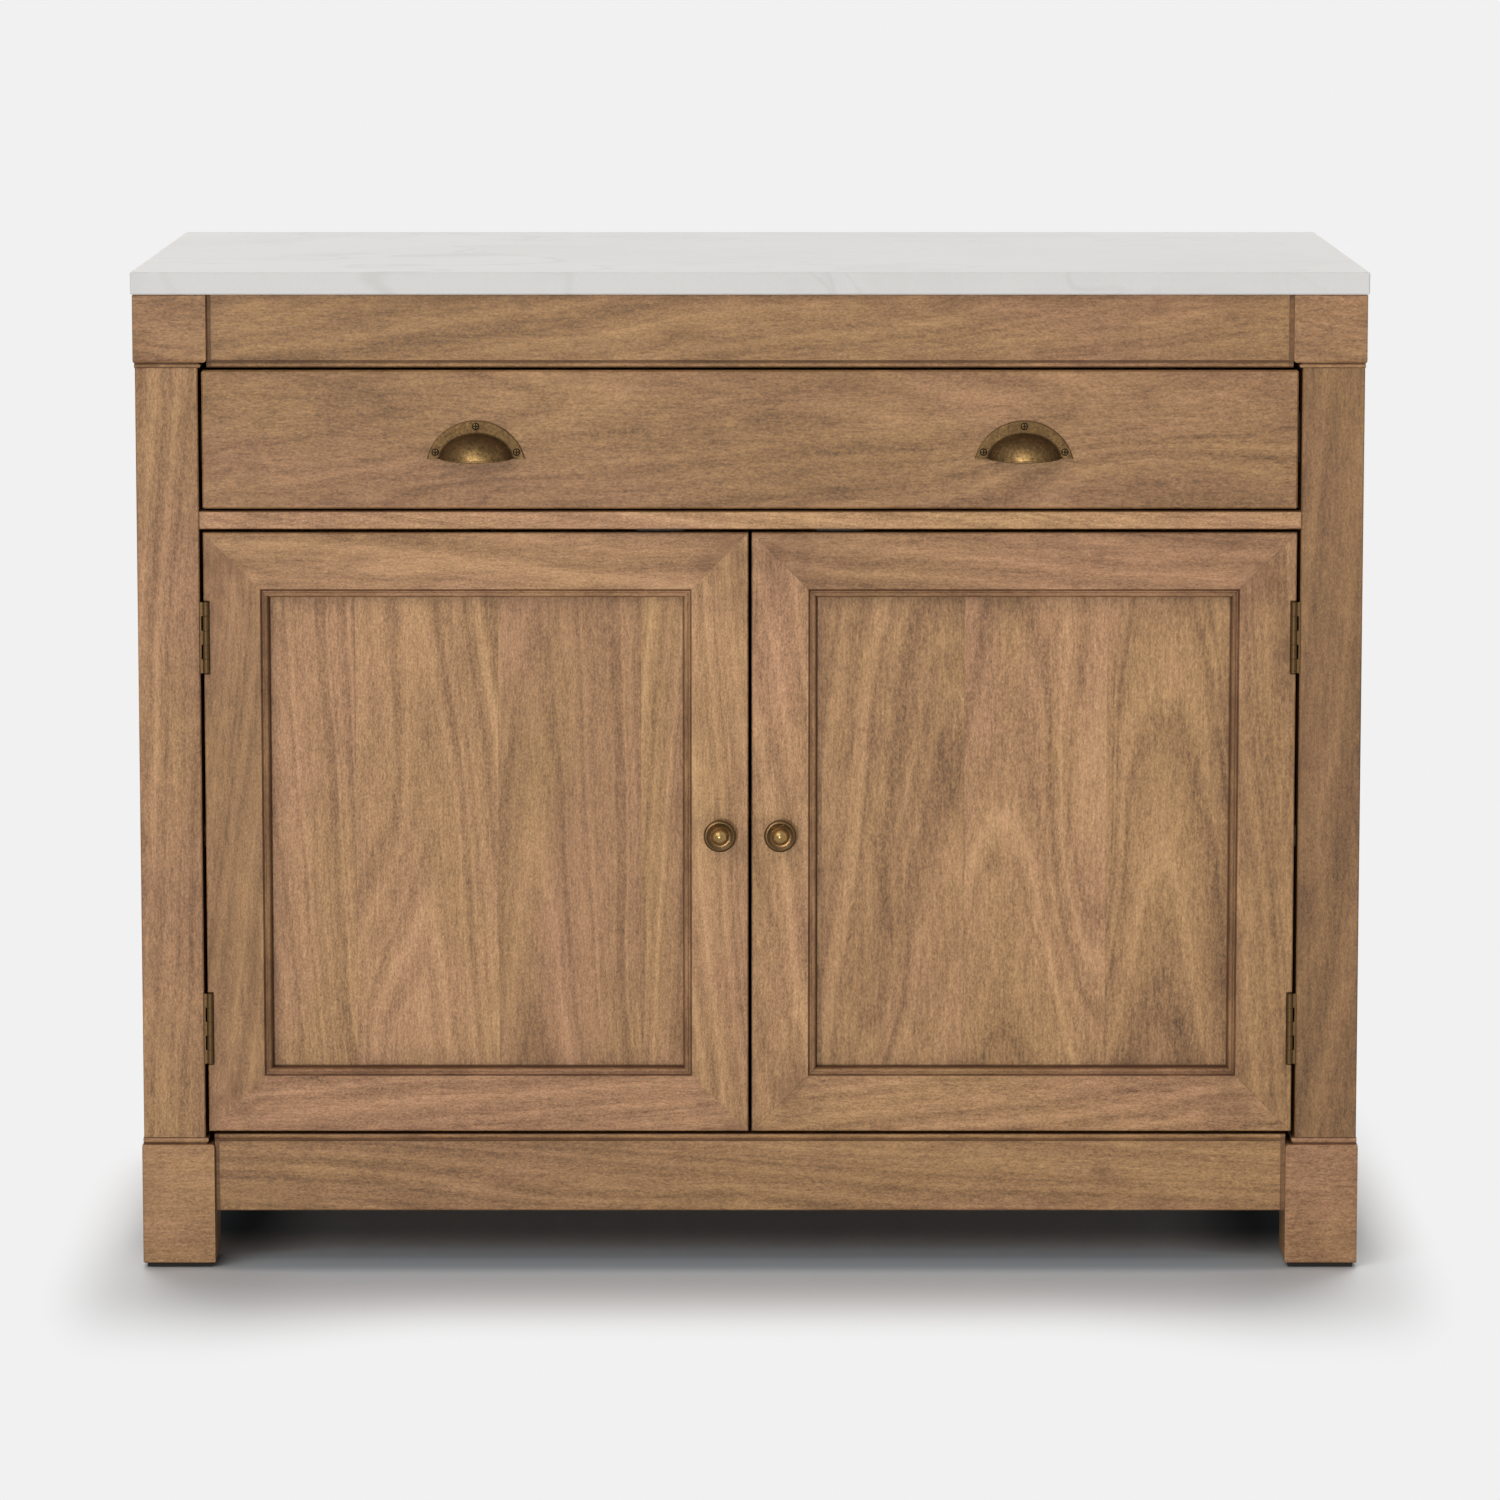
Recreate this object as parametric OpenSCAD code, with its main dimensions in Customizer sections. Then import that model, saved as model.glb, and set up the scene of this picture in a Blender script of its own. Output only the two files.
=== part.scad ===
// Kitchen island unit: a post-and-panel cupboard with two framed doors, one wide drawer and a
// stone worktop. Millimetres. X runs to the right, Y to the back and Z up. The origin is on the
// floor in the middle of the overall footprint, door knobs included.

/* [Overall] */
// Width of the worktop
worktop_w = 1100; // [1000:10:1300]
// Depth of the worktop, front to back
worktop_d = 600; // [580:10:700]
// Height from the floor to the top of the worktop
overall_h = 900; // [860:5:960]
// Thickness of the stone slab
worktop_t = 20; // [16:1:30]
// How far the worktop stands past the corner blocks
worktop_overhang = 1.5; // [0.5:0.5:10]
// Bevel ground on the edges of the slab
worktop_bevel = 1.2; // [0.5:0.1:3]

/* [Corner posts] */
// Side of the square corner post
post_w = 55.5; // [50:0.5:58]
// Side of the square corner block
block_w = 65; // [64:0.5:75]
// How far a block stands past its post at the ends of the unit
block_step_side = 1.5; // [1:0.25:3]
// How far a block stands past its post at the front and back of the unit
block_step_front = 4; // [2:0.5:5]
// Height of the foot block
foot_h = 115; // [95:1:130]
// Height of the capital block under the worktop
capital_h = 65.5; // [60:0.5:80]
// Height of the moulding on the foot block
foot_mould_h = 9.5; // [6:0.5:14]
// Height of the moulding on the capital block
capital_mould_h = 7.5; // [5:0.5:12]
// Thickness of the pad under a foot
pad_t = 4; // [2:0.5:6]
// Side of the pad under a foot
pad_w = 58; // [30:1:62]
// Bevel on the long edges of the wooden parts
bevel = 1; // [0.5:0.25:1.5]
// Side of the stub tenon at each end of a post
stub_w = 22; // [16:1:24]
// Length of the stub tenon at each end of a post
stub_l = 18; // [10:1:25]

/* [Rails and panels] */
// Thickness of the rails
rail_t = 22; // [20:1:24]
// How far the rails are set back from the faces of the posts
rail_in = 3; // [2:0.5:5]
// Height of the bottom rails
bottom_rail_h = 70.5; // [60:0.5:85]
// How far the bottom rails stand above the foot blocks
bottom_rail_rise = 2.5; // [1:0.5:4]
// Height of the bead along the rails
bead_h = 4.5; // [3:0.5:6]
// Width of the sunk strip at each end of a rail
strip_w = 4; // [2:0.5:6]
// Height of the rail between the drawer and the doors
drawer_rail_h = 16.5; // [14:0.5:24]
// Depth of that rail, front to back
drawer_rail_d = 60; // [45:1:90]
// Thickness of the side and back panels
panel_t = 8; // [6:1:9]
// How far the panels are set back from the faces of the posts
panel_in = 11; // [10:0.5:12]
// How deep a panel sits in its groove
groove_d = 8; // [5:0.5:9]
// Width of the upright in the middle of the back
back_stile_w = 60; // [40:1:100]
// Length of the tenons on the rails
tenon_l = 18; // [12:1:19]
// Thickness of the tenons on the rails
tenon_t = 8; // [6:1:9]
// Shoulder of a rail beside its tenon, on the side of the panels
tenon_shoulder = 16; // [14:1:20]
// Shoulder of a rail beside its tenon, on the far side
tenon_far_shoulder = 10; // [6:1:14]
// Slack round tenons, panels and boards that sit in each other
fit_gap = 0.2; // [0.1:0.05:0.3]

/* [Inside] */
// Thickness of the cabinet floor
floor_t = 15; // [12:1:20]
// Thickness of the shelf
shelf_t = 18; // [15:1:25]
// Height of the shelf above the floor of the cabinet
shelf_rise = 280; // [180:5:380]
// How far the front of the shelf lies behind the doors
shelf_in = 36; // [10:2:150]
// Gap behind the shelf
shelf_gap = 5; // [1:1:15]
// Gap at each end of the shelf
shelf_end_gap = 1; // [0.5:0.25:2]
// How far the battens under the shelf lie behind the doors
batten_in = 4; // [2:1:12]
// Side of the square battens that carry the floor, the shelf and the worktop
batten_w = 20; // [15:1:25]

/* [Drawer] */
// Height of the opening for the drawer
drawer_opening_h = 128; // [115:1:160]
// Thickness of the drawer front
drawer_front_t = 20; // [18:1:24]
// Wood left in front of the dovetails in the drawer front
tail_cover = 6; // [4:1:9]
// Gap above and below the drawer front
drawer_gap = 2.3; // [1.5:0.1:4]
// Height of the drawer box
drawer_box_h = 90; // [75:1:98]
// How much longer the drawer box is than its runners
drawer_box_over = 20; // [12:2:30]
// Thickness of the sides and back of the drawer box
drawer_side_t = 12; // [10:1:16]
// Thickness of the drawer base
drawer_base_t = 6; // [4:0.5:8]
// Height of the drawer base above the lower edge of the sides
drawer_base_rise = 10; // [8:1:14]
// Number of dovetails at each corner of the drawer box
tails = 3; // [2:1:4]

/* [Drawer runners] */
// Length of the runners
runner_l = 450; // [420:10:460]
// Height of the runners
runner_h = 45; // [38:1:46]
// Space that a runner takes between the cabinet and the drawer
runner_space = 12.7; // [12.3:0.1:14]
// Thickness of the runner steel
runner_t = 1.2; // [1:0.1:1.5]
// Running gap between the members of a runner
runner_gap = 0.4; // [0.3:0.05:0.6]
// How far the board behind a runner stands above and below it
packer_over = 8; // [4:1:9]

/* [Doors] */
// Thickness of the door frames
door_t = 22; // [21:0.5:24]
// How far the doors and the drawer front are set back from the faces of the posts
front_in = 1; // [0:0.25:2]
// Width of the flat face of the door frame
door_frame_w = 51; // [44:1:60]
// Width of the moulding round the door panel
stick_w = 7; // [6:0.5:10]
// Depth of the quirk beside that moulding
quirk_d = 2; // [1.5:0.25:2.5]
// How far the door panel lies behind the face of the frame
door_panel_in = 12; // [9:0.5:12]
// Thickness of the door panel
door_panel_t = 6; // [4:0.5:7]
// Gap between a door or drawer front and the posts
side_gap = 3.3; // [3:0.1:4]
// Gap between the two doors
centre_gap = 3.2; // [3:0.1:5]
// Gap above and below the doors
door_gap = 2.9; // [2:0.1:4]

/* [Hinges] */
// Length of the hinges
hinge_l = 64; // [50:1:76]
// Distance of the hinges from the ends of the door
hinge_end = 62; // [50:1:100]
// Diameter of the hinge knuckles
knuckle_d = 6.2; // [5.6:0.1:6.6]
// Diameter of the hinge pin
pin_d = 3; // [2.5:0.1:3.2]
// Width of the hinge leaves
leaf_w = 18; // [16:0.5:20]
// Thickness of the hinge leaves
leaf_t = 1.2; // [1:0.1:1.4]
// Distance of the pin from the hinged edge of the door
pin_inset = 2.2; // [1.9:0.1:2.6]
// How far the pin lies in front of the face of the door
pin_out = 0.8; // [0.4:0.1:1.2]
// Running gap between the knuckles
knuckle_gap = 0.3; // [0.2:0.05:0.5]

/* [Handles] */
// Radius of the outline of the cup pull
flange_r = 45.2; // [43:0.2:50]
// Height of the open edge of the cup above the centre of that outline
flange_cut = 10.9; // [9:0.1:13]
// Thickness of the flange
flange_t = 2; // [1.6:0.2:3]
// Radius of the cup, seen from below
cup_r = 34; // [32:0.5:35]
// Height of the cup
cup_h = 24; // [20:0.5:26]
// How far the cup stands out from the drawer
cup_out = 25.5; // [23:0.5:27]
// Thickness of the cup
cup_t = 1.8; // [1.4:0.1:2.2]
// Diameter of the door knob
knob_d = 29; // [25:0.5:34]
// Diameter of the ball in the middle of the knob
knob_ball_d = 15; // [12:0.5:17]
// How far the knob stands out from the door
knob_out = 27; // [25:0.5:34]
// Diameter of the bolt that holds the knob
bolt_d = 4; // [3:0.5:5]
// How far the bolt enters the knob
bolt_in = 10; // [8:0.5:12]
// Diameter of the wood screws
screw_d = 3; // [2.5:0.25:3.5]
// Length of the screws of the cup pulls
pull_screw_l = 14; // [10:1:18]
// Length of the screws of the hinges
leaf_screw_l = 12; // [8:1:16]
// Length of a door catch
catch_l = 42; // [30:1:60]
// Depth of a door catch
catch_d = 15; // [10:1:20]
// Height of a door catch
catch_h = 14; // [8:1:18]
// Gap between a door catch and its door
catch_gap = 0.4; // [0.3:0.1:1]

/* [Hidden] */
$fn = 48;
WOOD = "#9c7858";
PALE_WOOD = "#b39878";
STONE = "#dedcd6";
BRASS = "#7d6540";
STEEL = "#9a9a98";
FELT = "#2c2926";
LEFT = -1;
RIGHT = 1;
cut = 1; // how far a cutting shape runs past the face it cuts

// Plan of the frame, measured from the middle of the worktop
block_x = worktop_w / 2 - worktop_overhang;
block_y = worktop_d / 2 - worktop_overhang;
block_in_x = block_x - block_w;
block_in_y = block_y - block_w;
post_x = block_x - block_step_side;
post_y = block_y - block_step_front;
open_x = post_x - post_w;
open_y = post_y - post_w;
front_y = -post_y + front_in;
rail_back = rail_in + rail_t;
panel_back = panel_in + panel_t;

// Heights
foot_top = pad_t + foot_h;
rail_top = foot_top + bottom_rail_rise;
bottom_rail_z = rail_top - bottom_rail_h;
frame_top = overall_h - worktop_t;
capital_z = frame_top - capital_h;
drawer_rail_top = capital_z - drawer_opening_h;
drawer_rail_z = drawer_rail_top - drawer_rail_h;
floor_top = rail_top - bevel;
floor_z = floor_top - floor_t;
shelf_z = floor_top + shelf_rise;

// Doors, measured from the middle of the unit
door_in_x = centre_gap / 2;
door_out_x = open_x - side_gap;
door_w = door_out_x - door_in_x;
door_z = rail_top + door_gap;
door_h = drawer_rail_z - rail_top - 2 * door_gap;
member_w = door_frame_w + stick_w;
knob_x = door_in_x + door_frame_w / 2;
knob_z = door_z + door_h / 2;

// Hinges: the pin lies just in front of the door and inside its edge
pin_x = door_out_x - pin_inset;
pin_y = front_y - pin_out;
hinge_zs = [door_z + hinge_end, door_z + door_h - hinge_end - hinge_l];
knuckles = 5;
knuckle_pitch = hinge_l / knuckles;
pin_slack = 0.05; // radial gap round the pin
post_leaf_x = pin_inset + side_gap;
pin_cap_h = 1;

// The knob stands past the worktop, so the frame lies behind the middle of the footprint
frame_y = (knob_out - (front_in + block_step_front + worktop_overhang)) / 2;

// Drawer
drawer_front_z = drawer_rail_top + drawer_gap;
drawer_front_h = drawer_opening_h - 2 * drawer_gap;
drawer_box_x = open_x - runner_space;
drawer_box_y = front_y + drawer_front_t;
drawer_box_z = drawer_rail_top + (drawer_opening_h - drawer_box_h) / 2;
drawer_box_d = runner_l + drawer_box_over;
drawer_back_y = drawer_box_y + drawer_box_d;
base_groove = drawer_side_t / 2;
front_lap = drawer_front_t - tail_cover; // length of the tails that enter the front
runner_z = drawer_box_z + drawer_box_h / 2;
runner_y = drawer_box_y + drawer_box_over / 4;
pull_x = door_out_x / 2;
pull_z = drawer_front_z + drawer_front_h / 2 - (flange_r + flange_cut) / 2;

// ---------------------------------------------------------------- helpers

// Moves the frame back from the middle of its own plan to the middle of the footprint
module placed() translate([0, frame_y, 0]) children();

// A box given by its lowest and its highest corner
module span(low, high) translate(low) cube(high - low);

// Rectangle with its corners taken off
module eased(w, h, b = bevel)
    polygon([[b, 0], [w - b, 0], [w, b], [w, h - b], [w - b, h], [b, h], [0, h - b], [0, b]]);

// A board with bevelled long edges, along X, along Y or standing
module board_x(size) rotate([90, 0, 90]) linear_extrude(size.x) eased(size.y, size.z);
module board_y(size)
    translate([0, size.y, 0]) rotate([90, 0, 0]) linear_extrude(size.y) eased(size.x, size.z);
module board_z(size) linear_extrude(size.z) eased(size.x, size.y);

// A slab with every edge bevelled
module slab(size, b)
    intersection() {
        rotate([90, 0, 90]) linear_extrude(size.x) eased(size.y, size.z, b);
        translate([0, size.y, 0]) rotate([90, 0, 0])
            linear_extrude(size.y) eased(size.x, size.z, b);
        linear_extrude(size.z) eased(size.x, size.y, b);
    }

module on_hand(hand) mirror([hand < 0 ? 1 : 0, 0, 0]) children();

module both_hands() {
    children();
    on_hand(LEFT) children();
}

// Copies of something made for the back right corner, in all four corners
module corners()
    both_hands() {
        children();
        mirror([0, 1, 0]) children();
    }

// Swaps X and Z, so that something standing lies along X
module lying() mirror([1, 0, -1]) children();

// Takes something made for the front, with the faces of the posts at y = 0, to another side
function turn_of(side) = side == "front" ? 0 : side == "right" ? 90 : side == "back" ? 180 : -90;
function is_long(side) = side == "front" || side == "back";
function face_of(side) = is_long(side) ? post_y : post_x;
function open_of(side) = is_long(side) ? open_x : open_y;
function block_of(side) = is_long(side) ? block_in_x : block_in_y;
module on_side(side) rotate([0, 0, turn_of(side)]) translate([0, -face_of(side), 0]) children();

// ---------------------------------------------------------------- worktop

module worktop() {
    color(STONE) placed()
        translate([-worktop_w / 2, -worktop_d / 2, frame_top])
            slab([worktop_w, worktop_d, worktop_t], worktop_bevel);
}

// Three bearers from the front rail to the back rail, under the slab
module worktop_battens() {
    l = 2 * (post_y - rail_back);
    color(PALE_WOOD) placed()
        for (x = [-1, 0, 1] * block_in_x * 0.6)
            translate([x - batten_w, -l / 2, frame_top - batten_w])
                board_y([2 * batten_w, l, batten_w]);
}

// ---------------------------------------------------------------- corner blocks and posts

// Moulded end of a block, as [inset from its face, height]: a rounded shoulder, a quirk and a
// bead. It goes in by p and is h high.
function moulded_edge(p, h) = concat(
    [for (a = [0:30:90]) [0.35 * p * (1 - cos(a)), 0.35 * h * sin(a)]],
    [[0.85 * p, 0.4 * h], [0.85 * p, 0.5 * h]],
    [for (a = [-60:30:90]) [p * (0.9 - 0.25 * cos(a)), h * (0.75 + 0.25 * sin(a))]],
    [[p, h]]
);

function reversed(list) = [for (i = [len(list) - 1:-1:0]) list[i]];

// Outline of a block, outer face at u = 0 and the moulding at its upper end
function block_outline(h, mould_h, step) = concat(
    [[bevel, 0], [0, bevel]],
    [for (e = moulded_edge(step, mould_h)) [e.x, h - mould_h + e.y]],
    reversed([for (e = moulded_edge(block_w - post_w - step, mould_h))
        [block_w - e.x, h - mould_h + e.y]]),
    [[block_w, bevel], [block_w - bevel, 0]]
);

// A block for the back right corner, with the moulding mitred round its upper end
module block(h, mould_h)
    translate([block_in_x, block_in_y, 0]) intersection() {
        translate([0, block_w, 0]) rotate([90, 0, 0]) linear_extrude(block_w)
            translate([block_w, 0]) mirror([1, 0])
                polygon(block_outline(h, mould_h, block_step_side));
        rotate([90, 0, 90]) linear_extrude(block_w)
            translate([block_w, 0]) mirror([1, 0])
                polygon(block_outline(h, mould_h, block_step_front));
    }

// Square stub on the end of a post of the back right corner, from height z up
module stub(z, grow = 0) {
    w = stub_w + 2 * grow;
    translate([open_x + (post_w - w) / 2, open_y + (post_w - w) / 2, z]) cube([w, w, stub_l]);
}

module foot_blocks() {
    color(WOOD) placed() difference() {
        corners() translate([0, 0, pad_t]) block(foot_h, foot_mould_h);
        corners() translate([0, 0, -fit_gap]) stub(foot_top - stub_l, fit_gap);
        corners() stub(foot_top - stub_l + cut, fit_gap);
        for (side = ["front", "back", "left", "right"])
            on_side(side) rail_tenons(side, "bottom", fit_gap);
    }
}

module capital_blocks() {
    color(WOOD) placed() difference() {
        corners() translate([0, 0, frame_top]) mirror([0, 0, 1])
            block(capital_h, capital_mould_h);
        corners() translate([0, 0, fit_gap]) stub(capital_z, fit_gap);
        corners() stub(capital_z - cut, fit_gap);
        for (side = ["front", "back", "left", "right"])
            on_side(side) rail_tenons(side, "top", fit_gap);
    }
}

module foot_pads() {
    inset = (block_w - pad_w) / 2;
    color(FELT) placed() corners()
        translate([block_in_x + inset, block_in_y + inset, 0]) cube([pad_w, pad_w, pad_t]);
}

module post(hand, back) {
    color(WOOD) placed() on_hand(hand) difference() {
        mirror([0, back ? 0 : 1, 0]) {
            translate([open_x, open_y, foot_top])
                board_z([post_w, post_w, capital_z - foot_top]);
            stub(capital_z);
            stub(foot_top - stub_l);
        }
        on_side("right") post_grooves("right");
        if (back) on_side("back") post_grooves("back");
        if (!back) {
            hinge_places() post_leaf_screws(fit_gap / 2);
            drawer_rail_tenons(fit_gap);
        }
    }
}

// Grooves in the two posts of a side for its panel
module post_grooves(side)
    for (way = [-1, 1])
        span([way * (open_of(side) + groove_d / 2) - groove_d / 2 - (way > 0 ? cut : 0),
                panel_in - fit_gap, foot_top - cut],
            [way * (open_of(side) + groove_d / 2) + groove_d / 2 + (way < 0 ? cut : 0),
                panel_back + fit_gap, capital_z + cut]);

// ---------------------------------------------------------------- rails and panels

// Section of a rail with a bead on its upper edge, front face at y = 0: the face runs up to a
// quirk, and the bead's round nose lies above it
function rail_section(h) = concat(
    [[bevel, 0], [0, bevel], [0, h - 1.5 * bead_h], [0.3 * bead_h, h - 1.4 * bead_h],
        [0.3 * bead_h, h - bead_h]],
    [for (a = [-75:25:75]) bead_h / 2 * [1 - 0.6 * cos(a), 0] + [0, h - bead_h / 2 * (1 - sin(a))]],
    [[bead_h / 2, h], [rail_t, h], [rail_t, 0]]
);

// Tenons of a side's rail at both ends, faces of the posts at y = 0
module rail_tenons(side, level, grow = 0) {
    low = level == "top" ? capital_z + tenon_shoulder : bottom_rail_z + tenon_far_shoulder;
    h = (level == "top" ? capital_h : bottom_rail_h) - tenon_shoulder - tenon_far_shoulder;
    y = rail_in + rail_t / 2;
    for (way = [-1, 1])
        mirror([way < 0 ? 1 : 0, 0, 0])
            span([block_of(side) - (grow > 0 ? cut : 0), y - tenon_t / 2 - grow, low - grow],
                [block_of(side) + tenon_l + grow, y + tenon_t / 2 + grow, low + h + grow]);
}

// A rail for the top or the bottom of a side, from block to block
module rail(side, level) {
    half = block_of(side);
    h = level == "top" ? capital_h : bottom_rail_h;
    z = level == "top" ? capital_z : bottom_rail_z;
    color(WOOD) placed() on_side(side) {
        difference() {
            translate([-half, rail_in, z + (level == "top" ? h : 0)])
                mirror([0, 0, level == "top" ? 1 : 0])
                    rotate([90, 0, 90]) linear_extrude(2 * half) polygon(rail_section(h));
            for (way = [-1, 1])
                translate([way * half - strip_w, rail_in - cut, z - cut])
                    cube([2 * strip_w, cut + bevel, h + 2 * cut]);
            if (side != "front") rail_groove(side, level);
        }
        rail_tenons(side, level);
    }
}

// Groove in a rail for the panels
module rail_groove(side, level) {
    z = level == "top" ? capital_z - cut : rail_top - groove_d;
    span([-block_of(side) - cut, panel_in - fit_gap, z],
        [block_of(side) + cut, panel_back + fit_gap, z + groove_d + cut]);
}

// Panel of a side, between x0 and x1 in the grooves of the uprights. Where it enters the rails
// it is notched to x0n and x1n, clear of the corner blocks.
module panel(x0, x1, x0n, x1n) {
    color(WOOD) {
        span([x0, panel_in, foot_top + fit_gap], [x1, panel_back, capital_z - fit_gap]);
        span([x0n, panel_in, rail_top - groove_d + fit_gap],
            [x1n, panel_back, capital_z + groove_d - fit_gap]);
    }
}

module side_panel(side) {
    wide = open_y + groove_d - fit_gap;
    narrow = block_in_y - fit_gap;
    placed() on_side(side) panel(-wide, wide, -narrow, narrow);
}

// A half of the back, from the corner post to the upright in the middle; hand as on the back
module back_panel(hand) {
    inner = back_stile_w / 2 - groove_d + fit_gap;
    placed() on_side("back") mirror([hand > 0 ? 1 : 0, 0, 0])
        panel(inner, open_x + groove_d - fit_gap, inner, block_in_x - fit_gap);
}

module back_stile() {
    half = back_stile_w / 2;
    color(WOOD) placed() on_side("back") difference() {
        union() {
            translate([-half, rail_in, rail_top])
                board_z([back_stile_w, rail_t, capital_z - rail_top]);
            span([groove_d + fit_gap - half, panel_in, rail_top - groove_d + fit_gap],
                [half - groove_d - fit_gap, panel_back, capital_z + groove_d - fit_gap]);
        }
        for (way = [-1, 1])
            translate([way * half - groove_d, panel_in - fit_gap, rail_top - groove_d])
                cube([2 * groove_d, panel_t + 2 * fit_gap, capital_z - rail_top + 2 * groove_d]);
    }
}

module drawer_rail_tenons(grow = 0) {
    w = post_w / 2 - rail_in;
    y = -post_y + post_w / 4 + rail_in / 2;
    edge = drawer_rail_h / 5;
    both_hands()
        span([open_x - (grow > 0 ? cut : 0), y - grow, drawer_rail_z + edge - grow],
            [open_x + 0.75 * tenon_l + grow, y + w + grow, drawer_rail_top - edge + grow]);
}

module drawer_rail() {
    color(WOOD) placed() {
        translate([-open_x, -post_y + rail_in, drawer_rail_z])
            board_x([2 * open_x, drawer_rail_d, drawer_rail_h]);
        drawer_rail_tenons();
    }
}

// ---------------------------------------------------------------- inside

// The floor fills the plan between the rails, notched round the foot blocks
module cabinet_floor() {
    color(PALE_WOOD) placed() {
        x = post_x - rail_back - fit_gap;
        y = post_y - rail_back - fit_gap;
        bx = block_in_x - fit_gap;
        by = block_in_y - fit_gap;
        span([-bx, -y, floor_z], [bx, y, floor_top]);
        span([-x, -by, floor_z], [x, by, floor_top]);
    }
}

module floor_battens() {
    l = 2 * (block_in_x - fit_gap);
    y = post_y - rail_back;
    color(PALE_WOOD) placed() {
        translate([-l / 2, -y, floor_z - batten_w]) board_x([l, batten_w, batten_w]);
        translate([-l / 2, y - batten_w, floor_z - batten_w]) board_x([l, batten_w, batten_w]);
    }
}

module shelf() {
    w = 2 * (open_x - shelf_end_gap);
    front = front_y + door_t + shelf_in;
    back = post_y - rail_back - shelf_gap;
    color(PALE_WOOD) placed()
        translate([-w / 2, front, shelf_z]) board_x([w, back - front, shelf_t]);
}

// Battens between the posts of each side, under the shelf
module shelf_battens() {
    lap = post_w - front_in - door_t - batten_in;
    color(PALE_WOOD) placed() both_hands()
        translate([open_x - batten_w, -open_y - lap, shelf_z - batten_w])
            board_y([batten_w, 2 * open_y + 2 * lap, batten_w]);
}

// Boards between the posts that bring the fixing of the runners level with the posts
module runner_packers() {
    color(PALE_WOOD) placed() both_hands()
        translate([open_x, -open_y, runner_z - runner_h / 2 - packer_over])
            cube([post_x - panel_back - open_x, 2 * open_y, runner_h + 2 * packer_over]);
}

// ---------------------------------------------------------------- drawer runners

// Channel section with its web at x = 0 and its flanges reaching w
module channel(w, h)
    translate([0, runner_l, 0]) rotate([90, 0, 0]) linear_extrude(runner_l)
        difference() {
            translate([0, -h / 2]) square([w, h]);
            translate([runner_t, -h / 2 + runner_t]) square([w, h - 2 * runner_t]);
        }

// Each member lies inside the one before it, a step further in
runner_step = runner_t + runner_gap;
flange_end = runner_space - 2 * runner_gap;
module at_runner(x) translate([x, runner_y, runner_z]) children();

module runner_channels() {
    color(STEEL) placed() both_hands()
        at_runner(open_x) mirror([1, 0, 0]) channel(flange_end, runner_h);
}

module runner_middles() {
    color(STEEL) placed() both_hands()
        at_runner(open_x - runner_step) mirror([1, 0, 0])
            channel(flange_end - runner_step, runner_h - 2 * runner_step);
}

module drawer_runners() {
    color(STEEL) placed() both_hands()
        at_runner(drawer_box_x)
            channel(runner_space - 2 * runner_step, runner_h - 4 * runner_step);
}

// ---------------------------------------------------------------- drawer

// Dovetails of a side in the plane of the side, as [distance from the shoulder, height]
module tail_row(z, h, l, grow = 0) {
    pitch = h / tails;
    root = 0.27 * pitch + grow;
    end = 0.36 * pitch + grow;
    for (i = [0:tails - 1])
        translate([0, z + (i + 0.5) * pitch])
            polygon([[-cut * sign(grow), -root], [0, -root], [l + grow, -end], [l + grow, end],
                [0, root], [-cut * sign(grow), root]]);
}

// Extrudes what is drawn in the plane of the right drawer side through its thickness
module through_side(x, t) translate([x, 0, 0]) rotate([90, 0, 90]) linear_extrude(t) children();

tail_z = drawer_box_z + drawer_base_rise + drawer_base_t + fit_gap;
tail_h = drawer_box_z + drawer_box_h - tail_z;

// Front tails point forwards and back tails backwards
module front_tails(grow = 0)
    translate([drawer_box_y, 0]) mirror([1, 0])
        tail_row(drawer_box_z, drawer_box_h, front_lap, grow);
module back_tails(grow = 0)
    translate([drawer_back_y - drawer_side_t, 0]) tail_row(tail_z, tail_h, drawer_side_t, grow);

module drawer_side(hand) {
    x = drawer_box_x - drawer_side_t;
    back = drawer_back_y - drawer_side_t;
    color(PALE_WOOD) placed() on_hand(hand) difference() {
        through_side(x, drawer_side_t) {
            translate([drawer_box_y, drawer_box_z])
                square([back - drawer_box_y, drawer_box_h]);
            translate([back, drawer_box_z]) square([drawer_side_t, tail_z - drawer_box_z]);
            front_tails();
            back_tails();
        }
        base_space(fit_gap);
    }
}

module drawer_back() {
    color(PALE_WOOD) placed() difference() {
        span([-drawer_box_x, drawer_back_y - drawer_side_t, tail_z],
            [drawer_box_x, drawer_back_y, tail_z + tail_h]);
        both_hands()
            through_side(drawer_box_x - drawer_side_t - fit_gap, drawer_side_t + fit_gap + cut)
                back_tails(fit_gap);
    }
}

// The base, and with some growth the grooves that hold it
module base_space(grow = 0) {
    x = drawer_box_x - drawer_side_t + base_groove - fit_gap + grow;
    z = drawer_box_z + drawer_base_rise;
    span([-x, drawer_box_y - base_groove - grow, z - grow],
        [x, drawer_back_y + cut * sign(grow), z + drawer_base_t + grow]);
}

module drawer_base() {
    color(PALE_WOOD) placed() base_space();
}

module drawer_front() {
    color(WOOD) placed() difference() {
        translate([-door_out_x, front_y, drawer_front_z])
            slab([2 * door_out_x, drawer_front_t, drawer_front_h], 1.5 * bevel);
        both_hands()
            through_side(drawer_box_x - drawer_side_t - fit_gap, drawer_side_t + 2 * fit_gap)
                front_tails(fit_gap);
        base_space(fit_gap);
        both_hands() at_pull() pull_screw_places() screw(pull_screw_l, fit_gap / 2);
    }
}

// ---------------------------------------------------------------- cup pulls

// On the face of the drawer front, at the centre of the round outline of the pull
module at_pull() translate([pull_x, front_y, pull_z]) children();

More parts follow.
